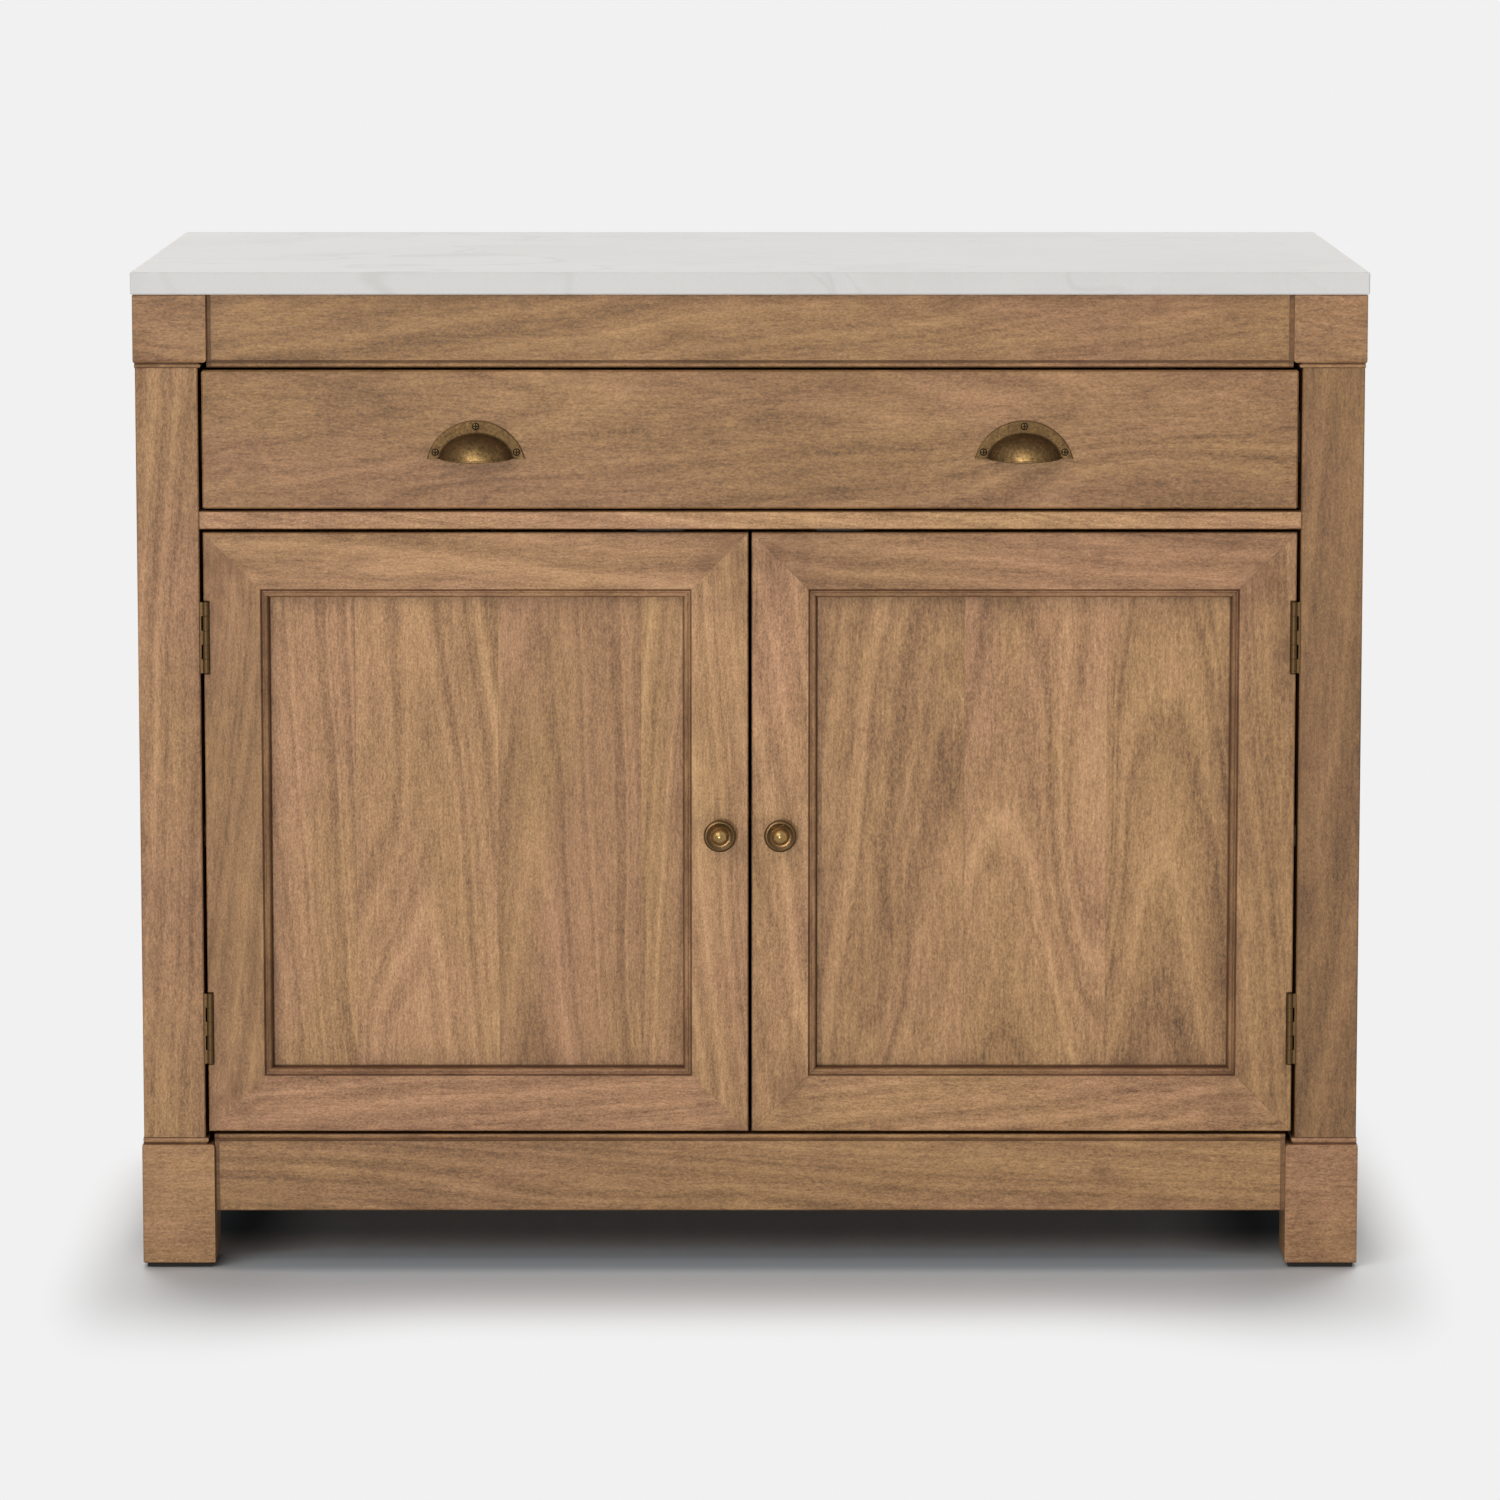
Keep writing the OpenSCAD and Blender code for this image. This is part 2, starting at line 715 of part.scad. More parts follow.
// A wood screw along +Y with its countersunk head's face at y = 0
module screw(l, grow = 0)
    rotate([-90, 0, 0]) {
        translate([0, 0, -grow]) cylinder(d = screw_d + 2 * grow, h = l + 2 * grow);
        translate([0, 0, -grow])
            cylinder(d1 = 2 * screw_d + 2 * grow, d2 = screw_d + 2 * grow, h = screw_d / 2);
    }

band = flange_r - flange_cut - cup_h; // width of the flange above the cup
screw_angle = asin((flange_cut + band * 0.6) / (flange_r - band / 2));
module pull_screw_places()
    for (a = [screw_angle, 90, 180 - screw_angle])
        translate([(flange_r - band / 2) * cos(a), -flange_t, (flange_r - band / 2) * sin(a)])
            children();

// Disc with a rounded rim, its back at y = 0
module flange_disc()
    rotate([90, 0, 0]) rotate_extrude()
        polygon(concat([[0, 0]], [for (a = [0:15:90])
            [flange_r - 0.6 * flange_t * (1 - cos(a)), 0.4 * flange_t + 0.6 * flange_t * sin(a)]],
            [[0, flange_t]]));

// Half an egg, round in plan, r wide and h high, that may go on straight below
module dome(r, h, below = 0)
    rotate_extrude() polygon(concat([[0, -below]], below > 0 ? [[r, -below]] : [],
        [for (a = [0:7.5:90]) [r * cos(a), h * sin(a)]]));

lip_r = 2 / 3 * cup_t; // radius of the rolled lip of the cup

module cup_pull(hand) {
    color(BRASS) placed() on_hand(hand) at_pull() difference() {
        union() {
            intersection() {
                flange_disc();
                span([-flange_r, -flange_t - cut, flange_cut], [flange_r, cut, flange_r]);
            }
            intersection() {
                translate([0, cup_r - cup_out, flange_cut]) {
                    dome(cup_r, cup_h);
                    rotate_extrude() translate([cup_r - 2 / 3 * lip_r, lip_r])
                        circle(lip_r, $fn = 16);
                }
                span([-flange_r, -flange_r, flange_cut], [flange_r, 0, flange_r]);
            }
        }
        translate([0, cup_r - cup_out, flange_cut]) dome(cup_r - cup_t, cup_h - cup_t, cut);
        pull_screw_places() screw(pull_screw_l, fit_gap / 4);
    }
}

module pull_screws() {
    color(BRASS) placed() both_hands() at_pull() pull_screw_places() difference() {
        screw(pull_screw_l);
        for (a = [0, 90]) rotate([0, a, 0])
            span([-0.6 * screw_d, -cut, -0.13 * screw_d],
                [0.6 * screw_d, 0.3 * screw_d, 0.13 * screw_d]);
    }
}

// ---------------------------------------------------------------- doors

// Section of a door member, as [distance from its outer edge, distance behind its face]: a flat
// face, a quirk, a bead and a drop to the panel, whose groove opens at the inner edge
function door_section() = concat(
    [[bevel, 0], [door_frame_w - bevel / 2, 0], [door_frame_w, bevel / 2],
        [door_frame_w + 0.2 * stick_w, quirk_d], [door_frame_w + 0.35 * stick_w, quirk_d]],
    [for (a = [0:30:150])
        [door_frame_w + stick_w * (0.62 - 0.27 * cos(a)), quirk_d - 0.2 * stick_w * sin(a)]],
    [[member_w - 0.1 * stick_w, 1.5 * quirk_d], [member_w, 2.25 * quirk_d],
        [member_w, door_panel_in - fit_gap], [member_w - groove_d, door_panel_in - fit_gap],
        [member_w - groove_d, door_panel_in + door_panel_t + fit_gap],
        [member_w, door_panel_in + door_panel_t + fit_gap], [member_w, door_t - bevel],
        [member_w - bevel, door_t], [bevel, door_t], [0, door_t - bevel], [0, bevel]]
);

// A standing member with both ends mitred, outer edge at x = 0 and face at y = 0
module door_member(l)
    intersection() {
        linear_extrude(l) polygon(door_section());
        translate([0, door_t + cut, 0]) rotate([90, 0, 0]) linear_extrude(door_t + 2 * cut)
            polygon([[0, 0], [member_w + cut, member_w + cut],
                [member_w + cut, l - member_w - cut], [0, l]]);
    }

// The right door; the left one is its mirror image
module at_door(hand) placed() on_hand(hand) translate([door_in_x, front_y, door_z]) children();
module from_outer_edge() translate([door_w, 0, 0]) mirror([1, 0, 0]) children();

module door_hinge_stile(hand) {
    color(WOOD) {
        at_door(hand) from_outer_edge() difference() {
            door_member(door_h);
            translate([pin_inset, -pin_out, 0])
                for (z = hinge_zs) translate([0, 0, z - door_z]) mirror([1, 0, 0]) {
                    hinge_notch();
                    door_leaf_screws(fit_gap / 2);
                }
        }
    }
}

module door_meeting_stile(hand) {
    color(WOOD) at_door(hand) difference() {
        door_member(door_h);
        at_knob() knob_bolt(fit_gap / 2);
    }
}

module door_bottom_rail(hand) {
    color(WOOD) at_door(hand) lying() door_member(door_w);
}

module door_top_rail(hand) {
    color(WOOD) at_door(hand) translate([0, 0, door_h]) mirror([0, 0, 1])
        lying() door_member(door_w);
}

module door_panel(hand) {
    edge = member_w - groove_d + fit_gap;
    color(WOOD) at_door(hand)
        span([edge, door_panel_in, edge],
            [door_w - edge, door_panel_in + door_panel_t, door_h - edge]);
}

// ---------------------------------------------------------------- hinges

// Hinges are drawn for the right door, round the pin, which stands at the origin. The door lies
// towards -X and the post towards +X.
module hinge_places() for (z = hinge_zs) translate([pin_x, pin_y, z]) children();

// Knuckles of one leaf: from = 0 on the post, 1 on the door
module knuckle_row(from, r, gap)
    for (i = [from:2:knuckles - 1])
        translate([0, 0, i * knuckle_pitch + gap / 2]) cylinder(r = r, h = knuckle_pitch - gap);

module pin_bore()
    translate([0, 0, -cut]) cylinder(d = pin_d + 2 * pin_slack, h = hinge_l + 2 * cut);

module leaf_screw_places()
    for (i = [0.14, 0.5, 0.86]) translate([0, 0.62 * leaf_w, i * hinge_l]) children();

module leaf_screw(grow) rotate([0, 0, -90]) screw(leaf_screw_l, grow);
module post_leaf_screws(grow = 0)
    translate([post_leaf_x - leaf_t, 0, 0]) leaf_screw_places() leaf_screw(grow);
module door_leaf_screws(grow = 0)
    translate([pin_inset, 0, 0]) leaf_screw_places() mirror([1, 0, 0]) leaf_screw(grow);

module post_leaf()
    difference() {
        union() {
            span([post_leaf_x - leaf_t, -leaf_t / 2, 0], [post_leaf_x, leaf_w, hinge_l]);
            knuckle_row(0, knuckle_d / 2, knuckle_gap);
            for (i = [0:2:knuckles - 1])
                span([0, -leaf_t / 2, i * knuckle_pitch + knuckle_gap / 2],
                    [post_leaf_x, leaf_t / 2, (i + 1) * knuckle_pitch - knuckle_gap / 2]);
        }
        pin_bore();
        post_leaf_screws(fit_gap / 4);
    }

module door_leaf()
    difference() {
        union() {
            span([pin_inset - leaf_t, 0, 0], [pin_inset, leaf_w, hinge_l]);
            knuckle_row(1, knuckle_d / 2, knuckle_gap);
        }
        knuckle_row(0, knuckle_d / 2 + knuckle_gap, -knuckle_gap);
        pin_bore();
        door_leaf_screws(fit_gap / 4);
    }

// What the door loses to a hinge: room for the knuckles and the seat of the leaf
module hinge_notch() {
    over = pin_cap_h + knuckle_gap;
    translate([0, 0, -over]) cylinder(r = knuckle_d / 2 + knuckle_gap, h = hinge_l + 2 * over);
    span([pin_inset - leaf_t, -cut, 0], [pin_inset + cut, leaf_w, hinge_l]);
}

module hinge_post_leaves() {
    color(BRASS) placed() both_hands() hinge_places() post_leaf();
}

module hinge_post_screws() {
    color(BRASS) placed() both_hands() hinge_places() post_leaf_screws();
}

module hinge_pins() {
    cap_d = 0.87 * knuckle_d;
    color(BRASS) placed() both_hands() hinge_places() {
        cylinder(d = pin_d, h = hinge_l);
        translate([0, 0, -pin_cap_h]) cylinder(d1 = pin_d, d2 = cap_d, h = pin_cap_h);
        translate([0, 0, hinge_l]) cylinder(d1 = cap_d, d2 = pin_d, h = pin_cap_h);
    }
}

module door_hinge_leaves(hand) {
    color(BRASS) placed() on_hand(hand) hinge_places() door_leaf();
}

// ---------------------------------------------------------------- knobs and catches

module at_knob() translate([knob_x - door_in_x, 0, knob_z - door_z]) children();

// Bolt from the back of the door into the knob, along -Y
module knob_bolt(grow = 0)
    rotate([90, 0, 0]) {
        translate([0, 0, -door_t - grow])
            cylinder(d = bolt_d + 2 * grow, h = door_t + bolt_in + 2 * grow);
        if (grow == 0) translate([0, 0, -door_t - bolt_d / 2])
            cylinder(d1 = 1.5 * bolt_d, d2 = 2.1 * bolt_d, h = bolt_d / 2);
    }

// Turned outline of the knob, as [radius, distance from the door]: a foot, a waist, a head with
// a rolled rim, a dish and the ball that lies in it
module knob_turning() {
    r = knob_d / 2;
    b = knob_ball_d / 2;
    rim = 0.15 * r;
    head = knob_out - b - 1.8 * rim;
    polygon(concat(
        [[0, 0], [0.5 * r, 0], [0.5 * r, 0.1 * r], [0.36 * r, 0.2 * r], [0.3 * r, 0.5 * head],
            [0.4 * r, head - 0.2 * r]],
        [for (a = [-60:20:90]) [r - rim + rim * cos(a), head + rim * sin(a)]],
        [[0.72 * r, head + 0.6 * rim], [b + 0.1 * r, head + 0.3 * rim]],
        [for (a = [-24:12:84]) [b * cos(a), knob_out - b + b * sin(a)]],
        [[0, knob_out]]
    ));
}

module door_knob(hand) {
    color(BRASS) at_door(hand) at_knob() difference() {
        rotate([90, 0, 0]) rotate_extrude() knob_turning();
        knob_bolt(pin_slack);
    }
}

module door_screws(hand) {
    color(BRASS) {
        at_door(hand) at_knob() knob_bolt();
        placed() on_hand(hand) hinge_places() door_leaf_screws();
    }
}

// Magnetic catches under the drawer rail, one behind the top of each door
module door_catches() {
    color(STEEL) placed() both_hands()
        translate([door_in_x + member_w, front_y + door_t + catch_gap, drawer_rail_z - catch_h])
            cube([catch_l, catch_d, catch_h]);
}

// ---------------------------------------------------------------- the unit

worktop();
worktop_battens();
capital_blocks();
foot_blocks();
foot_pads();
post(LEFT, false);  // post_front_left
post(RIGHT, false);  // post_front_right
post(LEFT, true);  // post_back_left
post(RIGHT, true);  // post_back_right
rail("front", "top");  // top_rail_front
rail("back", "top");  // top_rail_back
rail("left", "top");  // top_rail_left
rail("right", "top");  // top_rail_right
rail("front", "bottom");  // bottom_rail_front
rail("back", "bottom");  // bottom_rail_back
rail("left", "bottom");  // bottom_rail_left
rail("right", "bottom");  // bottom_rail_right
drawer_rail();
side_panel("left");  // side_panel_left
side_panel("right");  // side_panel_right
back_stile();
back_panel(LEFT);  // back_panel_left
back_panel(RIGHT);  // back_panel_right
cabinet_floor();
floor_battens();
shelf();
shelf_battens();
runner_packers();
runner_channels();
runner_middles();
door_catches();
hinge_post_leaves();
hinge_pins();
hinge_post_screws();
drawer_front();
drawer_side(LEFT);  // drawer_side_left
drawer_side(RIGHT);  // drawer_side_right
drawer_back();
drawer_base();
drawer_runners();
cup_pull(LEFT);  // cup_pull_left
cup_pull(RIGHT);  // cup_pull_right
pull_screws();
door_hinge_stile(LEFT);  // door_left_hinge_stile
door_meeting_stile(LEFT);  // door_left_meeting_stile
door_top_rail(LEFT);  // door_left_top_rail
door_bottom_rail(LEFT);  // door_left_bottom_rail
door_panel(LEFT);  // door_left_panel
door_hinge_leaves(LEFT);  // door_left_hinge_leaves
door_knob(LEFT);  // door_left_knob
door_screws(LEFT);  // door_left_screws
door_hinge_stile(RIGHT);  // door_right_hinge_stile
door_meeting_stile(RIGHT);  // door_right_meeting_stile
door_top_rail(RIGHT);  // door_right_top_rail
door_bottom_rail(RIGHT);  // door_right_bottom_rail
door_panel(RIGHT);  // door_right_panel
door_hinge_leaves(RIGHT);  // door_right_hinge_leaves
door_knob(RIGHT);  // door_right_knob
door_screws(RIGHT);  // door_right_screws
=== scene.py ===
# Kitchen island unit: finishes, brass fittings, stage and camera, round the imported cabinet.
# Metres. X runs to the right, Y to the back and Z up, as in the cabinet's own frame.

import math
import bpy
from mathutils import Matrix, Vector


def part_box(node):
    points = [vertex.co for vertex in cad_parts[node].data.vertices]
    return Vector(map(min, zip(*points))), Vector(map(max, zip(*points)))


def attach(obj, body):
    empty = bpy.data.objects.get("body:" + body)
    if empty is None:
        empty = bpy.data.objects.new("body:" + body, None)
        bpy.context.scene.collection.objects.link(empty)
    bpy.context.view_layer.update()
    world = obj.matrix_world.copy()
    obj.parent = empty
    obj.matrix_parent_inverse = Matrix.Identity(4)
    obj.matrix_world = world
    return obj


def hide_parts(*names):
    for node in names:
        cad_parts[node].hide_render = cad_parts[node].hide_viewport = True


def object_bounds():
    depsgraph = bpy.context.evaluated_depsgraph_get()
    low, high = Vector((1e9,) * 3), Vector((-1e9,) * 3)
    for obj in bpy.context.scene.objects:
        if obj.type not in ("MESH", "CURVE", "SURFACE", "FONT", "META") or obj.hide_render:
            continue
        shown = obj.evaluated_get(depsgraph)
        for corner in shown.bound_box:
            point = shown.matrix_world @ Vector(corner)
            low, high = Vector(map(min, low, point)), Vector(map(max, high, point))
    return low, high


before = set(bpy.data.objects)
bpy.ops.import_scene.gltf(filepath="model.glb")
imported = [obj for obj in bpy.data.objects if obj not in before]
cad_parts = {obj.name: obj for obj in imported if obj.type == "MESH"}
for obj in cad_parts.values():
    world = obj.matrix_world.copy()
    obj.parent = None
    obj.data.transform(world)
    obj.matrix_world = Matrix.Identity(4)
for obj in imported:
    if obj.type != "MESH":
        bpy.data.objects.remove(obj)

import zlib

import bmesh
import bpy
import numpy as np
from bpy.props import FloatProperty, FloatVectorProperty, PointerProperty
from mathutils import Matrix, Vector

bl_info = {
    "name": "Kitchen island unit",
    "version": (1, 0, 0),
    "blender": (4, 5, 0),
    "location": "3D View > Sidebar > Island",
    "description": "Wood, stone and brass finishes, fittings and stage of a kitchen island unit",
    "category": "Object",
}

CAD_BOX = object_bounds()
MM = 0.001


def srgb(red, green, blue):
    """Colour given as bytes of sRGB, turned into the linear values that shaders use."""
    values = np.array([red, green, blue]) / 255
    linear = np.where(values <= 0.04045, values / 12.92, ((values + 0.055) / 1.055) ** 2.4)
    return tuple(float(v) for v in linear)


# ---------------------------------------------------------------- sizes and colours


def size(name, description, default):
    """A length in metres, for the sidebar."""
    return FloatProperty(name=name, description=description, default=default, min=0.0,
                         unit="LENGTH", precision=4)


def colour(name, description, red, green, blue):
    """A colour, for the sidebar."""
    return FloatVectorProperty(name=name, description=description, subtype="COLOR", size=3,
                               min=0.0, max=1.0, default=srgb(red, green, blue))


class ISLAND_PG_wood(bpy.types.PropertyGroup):
    tan: colour("Tan", "Main colour of the waxed wood", 164, 123, 84)
    rose: colour("Rose", "Pinkish patches of the wood", 171, 124, 91)
    honey: colour("Honey", "Yellowish patches of the wood", 168, 129, 78)
    # Umber also colours the painted shade on the rails' sunk strips beside the blocks
    umber: colour("Umber", "Dark stain left in quirks, corners and pores", 80, 50, 29)
    ring_gap: size("Ring gap", "Distance between growth rings", 0.009)
    fibre: size("Fibre", "Width of the fibres that streak the face", 0.0013)


class ISLAND_PG_stone(bpy.types.PropertyGroup):
    ground: colour("Ground", "Colour of the marble between its veins", 210, 208, 205)
    vein: colour("Vein", "Colour of the veins", 172, 170, 166)


class ISLAND_PG_metal(bpy.types.PropertyGroup):
    patina: colour("Patina", "Dark film on the aged brass", 86, 65, 40)
    # Brass also gives the painted highlight low in the middle of the cups
    brass: colour("Brass", "Brass where it is rubbed bright", 184, 148, 92)
    # Painted shade: the steel is made this dark so that the runners' front edges stay dark in the
    # gaps beside the drawer and the catches throw back little light.
    steel: colour("Steel", "Blackened steel of the runners and catches", 66, 66, 66)
    pad: colour("Foot pad", "Dark pads under the feet", 38, 35, 32)


class ISLAND_PG_pull(bpy.types.PropertyGroup):
    flange_r: size("Flange radius", "Radius of the round outline of the pull", 0.0452)
    flange_cut: size("Flange cut", "Height of the open edge above that outline's centre", 0.0109)
    flange_t: size("Flange thickness", "Thickness of the flange", 0.002)
    cup_r: size("Cup radius", "Radius of the cup seen from below", 0.034)
    cup_h: size("Cup height", "Height of the cup", 0.024)
    cup_t: size("Cup wall", "Thickness of the cup", 0.0018)
    fillet: size("Fillet", "Radius between the cup and its flange", 0.0022)
    lip_r: size("Lip", "Radius of the rolled lip", 0.0010)
    sag: size("Sag", "How far the lip hangs below the flange in the middle", 0.0018)
    screw_r: size("Screw head", "Radius of the screw heads", 0.0033)


class ISLAND_PG_stage(bpy.types.PropertyGroup):
    floor: colour("Floor", "Colour of the floor and of the background", 241, 241, 241)
    distance: size("Camera distance", "From the camera to the middle of the unit", 6.29)
    height: size("Camera height", "Height of the camera above the floor", 1.291)
    lens: FloatProperty(name="Lens", description="Focal length in millimetres", default=162.4)
    aim: size("Aim", "Height at which the camera looks, in the middle of the unit", 0.433)


# ---------------------------------------------------------------- materials: node recipes


class Recipe:
    """The nodes of one material or node group, added by short calls that give their output."""

    def __init__(self, tree):
        self.tree = tree

    def node(self, kind, inputs=(), **settings):
        """A node with its settings; inputs are pairs of socket and value or link."""
        made = self.tree.nodes.new(kind)
        for key, value in settings.items():
            setattr(made, key, value)
        for socket, value in inputs:
            if isinstance(value, bpy.types.NodeSocket):
                self.tree.links.new(value, made.inputs[socket])
            else:
                made.inputs[socket].default_value = value
        return made

    def math(self, operation, *values):
        return self.node("ShaderNodeMath", enumerate(values), operation=operation).outputs[0]

    def total(self, *values):
        """Sum of the values."""
        result = values[0]
        for value in values[1:]:
            result = self.math("ADD", result, value)
        return result

    def swing(self, value, amount):
        """A value round 0.5 turned into one round zero, times an amount."""
        return self.math("MULTIPLY_ADD", value, amount, -0.5 * amount)

    def vector(self, operation, *values):
        made = self.node("ShaderNodeVectorMath", enumerate(values), operation=operation)
        return made.outputs["Value" if operation == "LENGTH" else "Vector"]

    def stretched(self, place, *scale):
        return self.vector("MULTIPLY", place, scale)

    def shifted(self, place, seed, amount=(11.3, 5.7, 3.1)):
        """The place moved along a fixed way by a seed, so that each board has its own figure."""
        way = self.node("ShaderNodeVectorMath", [(0, amount), ("Scale", seed)], operation="SCALE")
        return self.vector("ADD", place, way.outputs["Vector"])

    def noise(self, place, detail=2.0, roughness=0.5, scale=1.0, distortion=0.0):
        made = self.node("ShaderNodeTexNoise", [
            ("Vector", place), ("Scale", scale), ("Detail", detail), ("Roughness", roughness),
            ("Distortion", distortion)])
        return made.outputs["Fac"]

    def noise_along(self, value, scale, detail=2.0, roughness=0.5):
        """Noise of one value alone: random bands."""
        made = self.node("ShaderNodeTexNoise", [
            ("W", value), ("Scale", scale), ("Detail", detail), ("Roughness", roughness)],
            noise_dimensions="1D")
        return made.outputs["Fac"]

    def smooth(self, value, start, end, low=0.0, high=1.0):
        """Runs from low to high while the value goes from start to end, with soft ends."""
        made = self.node("ShaderNodeMapRange", [
            ("Value", value), ("From Min", start), ("From Max", end), ("To Min", low),
            ("To Max", high)], interpolation_type="SMOOTHSTEP")
        return made.outputs["Result"]

    def fading(self, value, reach, strength, start=0.0):
        """The strength up to the start, then less and less, and zero from the reach on."""
        return self.smooth(value, start, reach, strength, 0.0)

    def band(self, value, start, end, soft):
        """One between start and end, zero outside, with soft ends."""
        return self.math("MULTIPLY", self.smooth(value, start - soft, start + soft),
                         self.fading(value, end + soft, 1.0, end - soft))

    def mix(self, amount, first, second, kind="MIX"):
        """The first colour with an amount of the second; plain ones are three numbers."""
        first, second = (given if isinstance(given, bpy.types.NodeSocket) else (*given, 1.0)
                         for given in (first, second))
        return self.node("ShaderNodeMix", [(0, amount), (6, first), (7, second)],
                         data_type="RGBA", blend_type=kind).outputs[2]

    def parts(self, place):
        return self.node("ShaderNodeSeparateXYZ", [(0, place)]).outputs

    def join(self, *values):
        return self.node("ShaderNodeCombineXYZ", enumerate(values)).outputs[0]

    def place(self):
        """The point in the cabinet's frame, in metres."""
        return self.node("ShaderNodeTexCoord").outputs["Object"]


def empty_recipe(owner):
    """The recipe of a material or a world, emptied of the nodes that it starts with."""
    owner.use_nodes = True
    owner.node_tree.nodes.clear()
    return Recipe(owner.node_tree)


def new_material(name):
    """A material with a Principled shader: the material, its recipe and the shader node."""
    material = bpy.data.materials.new(name)
    recipe = empty_recipe(material)
    shader = recipe.node("ShaderNodeBsdfPrincipled")
    recipe.node("ShaderNodeOutputMaterial", [("Surface", shader.outputs["BSDF"])])
    return material, recipe, shader


def connect(recipe, shader, **links):
    """Links sockets of the shader, named with _ for a space."""
    for name, value in links.items():
        recipe.tree.links.new(value, shader.inputs[name.replace("_", " ")])


def bump(recipe, height, distance, strength=0.6):
    return recipe.node("ShaderNodeBump", [("Height", height), ("Distance", distance),
                                          ("Strength", strength)]).outputs["Normal"]


def give(material, *nodes):
    """Puts the material on the CAD nodes of these names."""
    for name in nodes:
        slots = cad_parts[name].data.materials
        slots.clear()
        slots.append(material)


# ---------------------------------------------------------------- wood

# Each board's grain runs along one axis and its face looks along another. The tone is a
# board's own lightness.
FRONT_BOARDS = {
    "post_front_left": ("z", "y", 0.88), "post_front_right": ("z", "y", 0.60),
    "post_back_left": ("z", "y", 0.95), "post_back_right": ("z", "y", 1.0),
    "top_rail_front": ("x", "y", 0.73), "top_rail_back": ("x", "y", 1.0),
    "top_rail_left": ("y", "x", 0.95), "top_rail_right": ("y", "x", 1.0),
    "bottom_rail_front": ("x", "y", 0.82), "bottom_rail_back": ("x", "y", 0.97),
    "bottom_rail_left": ("y", "x", 1.0), "bottom_rail_right": ("y", "x", 0.95),
    "drawer_rail": ("x", "y", 1.1), "drawer_front": ("x", "y", 0.77),
    "capital_blocks": ("x", "y", 0.78), "foot_blocks": ("x", "y", 0.83),
    "back_stile": ("z", "y", 1.0),
    "door_left_hinge_stile": ("z", "y", 0.78), "door_left_meeting_stile": ("z", "y", 1.03),
    "door_left_top_rail": ("x", "y", 0.89), "door_left_bottom_rail": ("x", "y", 0.93),
    "door_right_hinge_stile": ("z", "y", 0.82), "door_right_meeting_stile": ("z", "y", 0.99),
    "door_right_top_rail": ("x", "y", 0.79), "door_right_bottom_rail": ("x", "y", 0.95),
}
PANELS = {
    "door_left_panel": ("z", "y", 0.915), "door_right_panel": ("z", "y", 0.885),
    "side_panel_left": ("z", "x", 1.0), "side_panel_right": ("z", "x", 1.0),
    "back_panel_left": ("z", "y", 1.0), "back_panel_right": ("z", "y", 1.0),
}
INNER_BOARDS = {
    "cabinet_floor": ("x", "z"), "shelf": ("x", "z"), "floor_battens": ("x", "y"),
    "shelf_battens": ("y", "x"), "worktop_battens": ("y", "z"), "runner_packers": ("y", "x"),
    "drawer_side_left": ("y", "x"), "drawer_side_right": ("y", "x"),
    "drawer_back": ("x", "y"), "drawer_base": ("x", "z"),
}
UNWAXED, UNWAXED_SHARE = (0.12, 0.12, 0.1), 0.72  # light that lifts the inner boards' colour
WIDE_BOARDS = ("cabinet_floor", "shelf", "drawer_base")
NARROW_FIGURE = 0.72  # strength of the rings on boards that are neither wide nor a panel
# Knots and figure of single boards, in millimetres: the middle (across and up), the half width
# and half height, how far the rings swell round it and how dark it is.
KNOTS = {
    "top_rail_front": [(-60, 844, 34, 15, 6, 0.22), (300, 850, 60, 9, 5, 0.1)],
    "drawer_front": [(340, 722, 150, 34, 26, 0.0), (-245, 706, 120, 15, 8, 0.08),
                     (-455, 722, 40, 24, 8, 0.1), (20, 770, 120, 20, 12, 0.0)],
    "bottom_rail_front": [(318, 85, 16, 9, 9, 0.34), (-160, 70, 120, 14, 8, 0.08)],
    "door_left_panel": [(-323, 417, 36, 180, 20, 0.0), (-110, 250, 30, 130, 12, 0.0)],
    "door_right_panel": [(300, 400, 36, 190, 26, 0.0), (120, 260, 30, 120, 12, 0.08)],
    "door_left_top_rail": [(-120, 640, 60, 10, 6, 0.12), (-330, 632, 80, 12, 10, 0.0)],
    "door_right_top_rail": [(96, 640, 46, 14, 6, 0.2), (330, 640, 90, 12, 10, 0.06)],
    "door_right_hinge_stile": [(478, 560, 13, 46, 9, 0.42)],
    "door_right_bottom_rail": [(430, 146, 50, 12, 8, 0.12)],
    "door_left_bottom_rail": [(-420, 150, 50, 12, 8, 0.12)],
    "post_front_right": [(505, 330, 16, 60, 8, 0.1)],
}
# How far single boards lean to the honey or, below zero, to the rose tint.
HONEY = {"top_rail_front": 0.05, "bottom_rail_front": 0.08, "post_front_right": 0.08,
         "foot_blocks": -0.02, "door_right_hinge_stile": 0.1, "door_right_panel": 0.08,
         "door_left_bottom_rail": -0.08, "door_right_bottom_rail": -0.03, "drawer_front": 0.03}
# Boards that a panel is glued up from: their width, how far the grain of one is moved across and
# along against the next one's, and how much their tones differ
BOARD_W, BOARD_SHIFT, BOARD_TONE = 0.128, (0.11, 7.0), 0.14

# The heart of the tree lies off a board's face, between two distances. A board wider than
# ARCH_W is cut near the heart, up to a share of its width aside, and shows arches. A narrow one
# is cut further off: the least distance, and what a share of one adds.
ARCH_W, HEART_ASIDE = 0.12, 0.35
HEART_OFF = (0.05, 0.25)
HEART_BEHIND = (0.035, 0.11)

# How far each kind of figure lightens and darkens the wood
RINGS, SPECKS, FIBRES, STREAKS, CLOUDS, MOTTLE = 1.0, 1.2, 0.9, 0.65, 0.85, 0.3
PORES = 0.26  # stain that lies in the pores
GRAIN_DEPTH = 0.00022  # relief of fibres and pores
WAX_SHEEN, STONE_SHEEN = 0.35, 0.12  # how much light the wax and the honed marble throw back
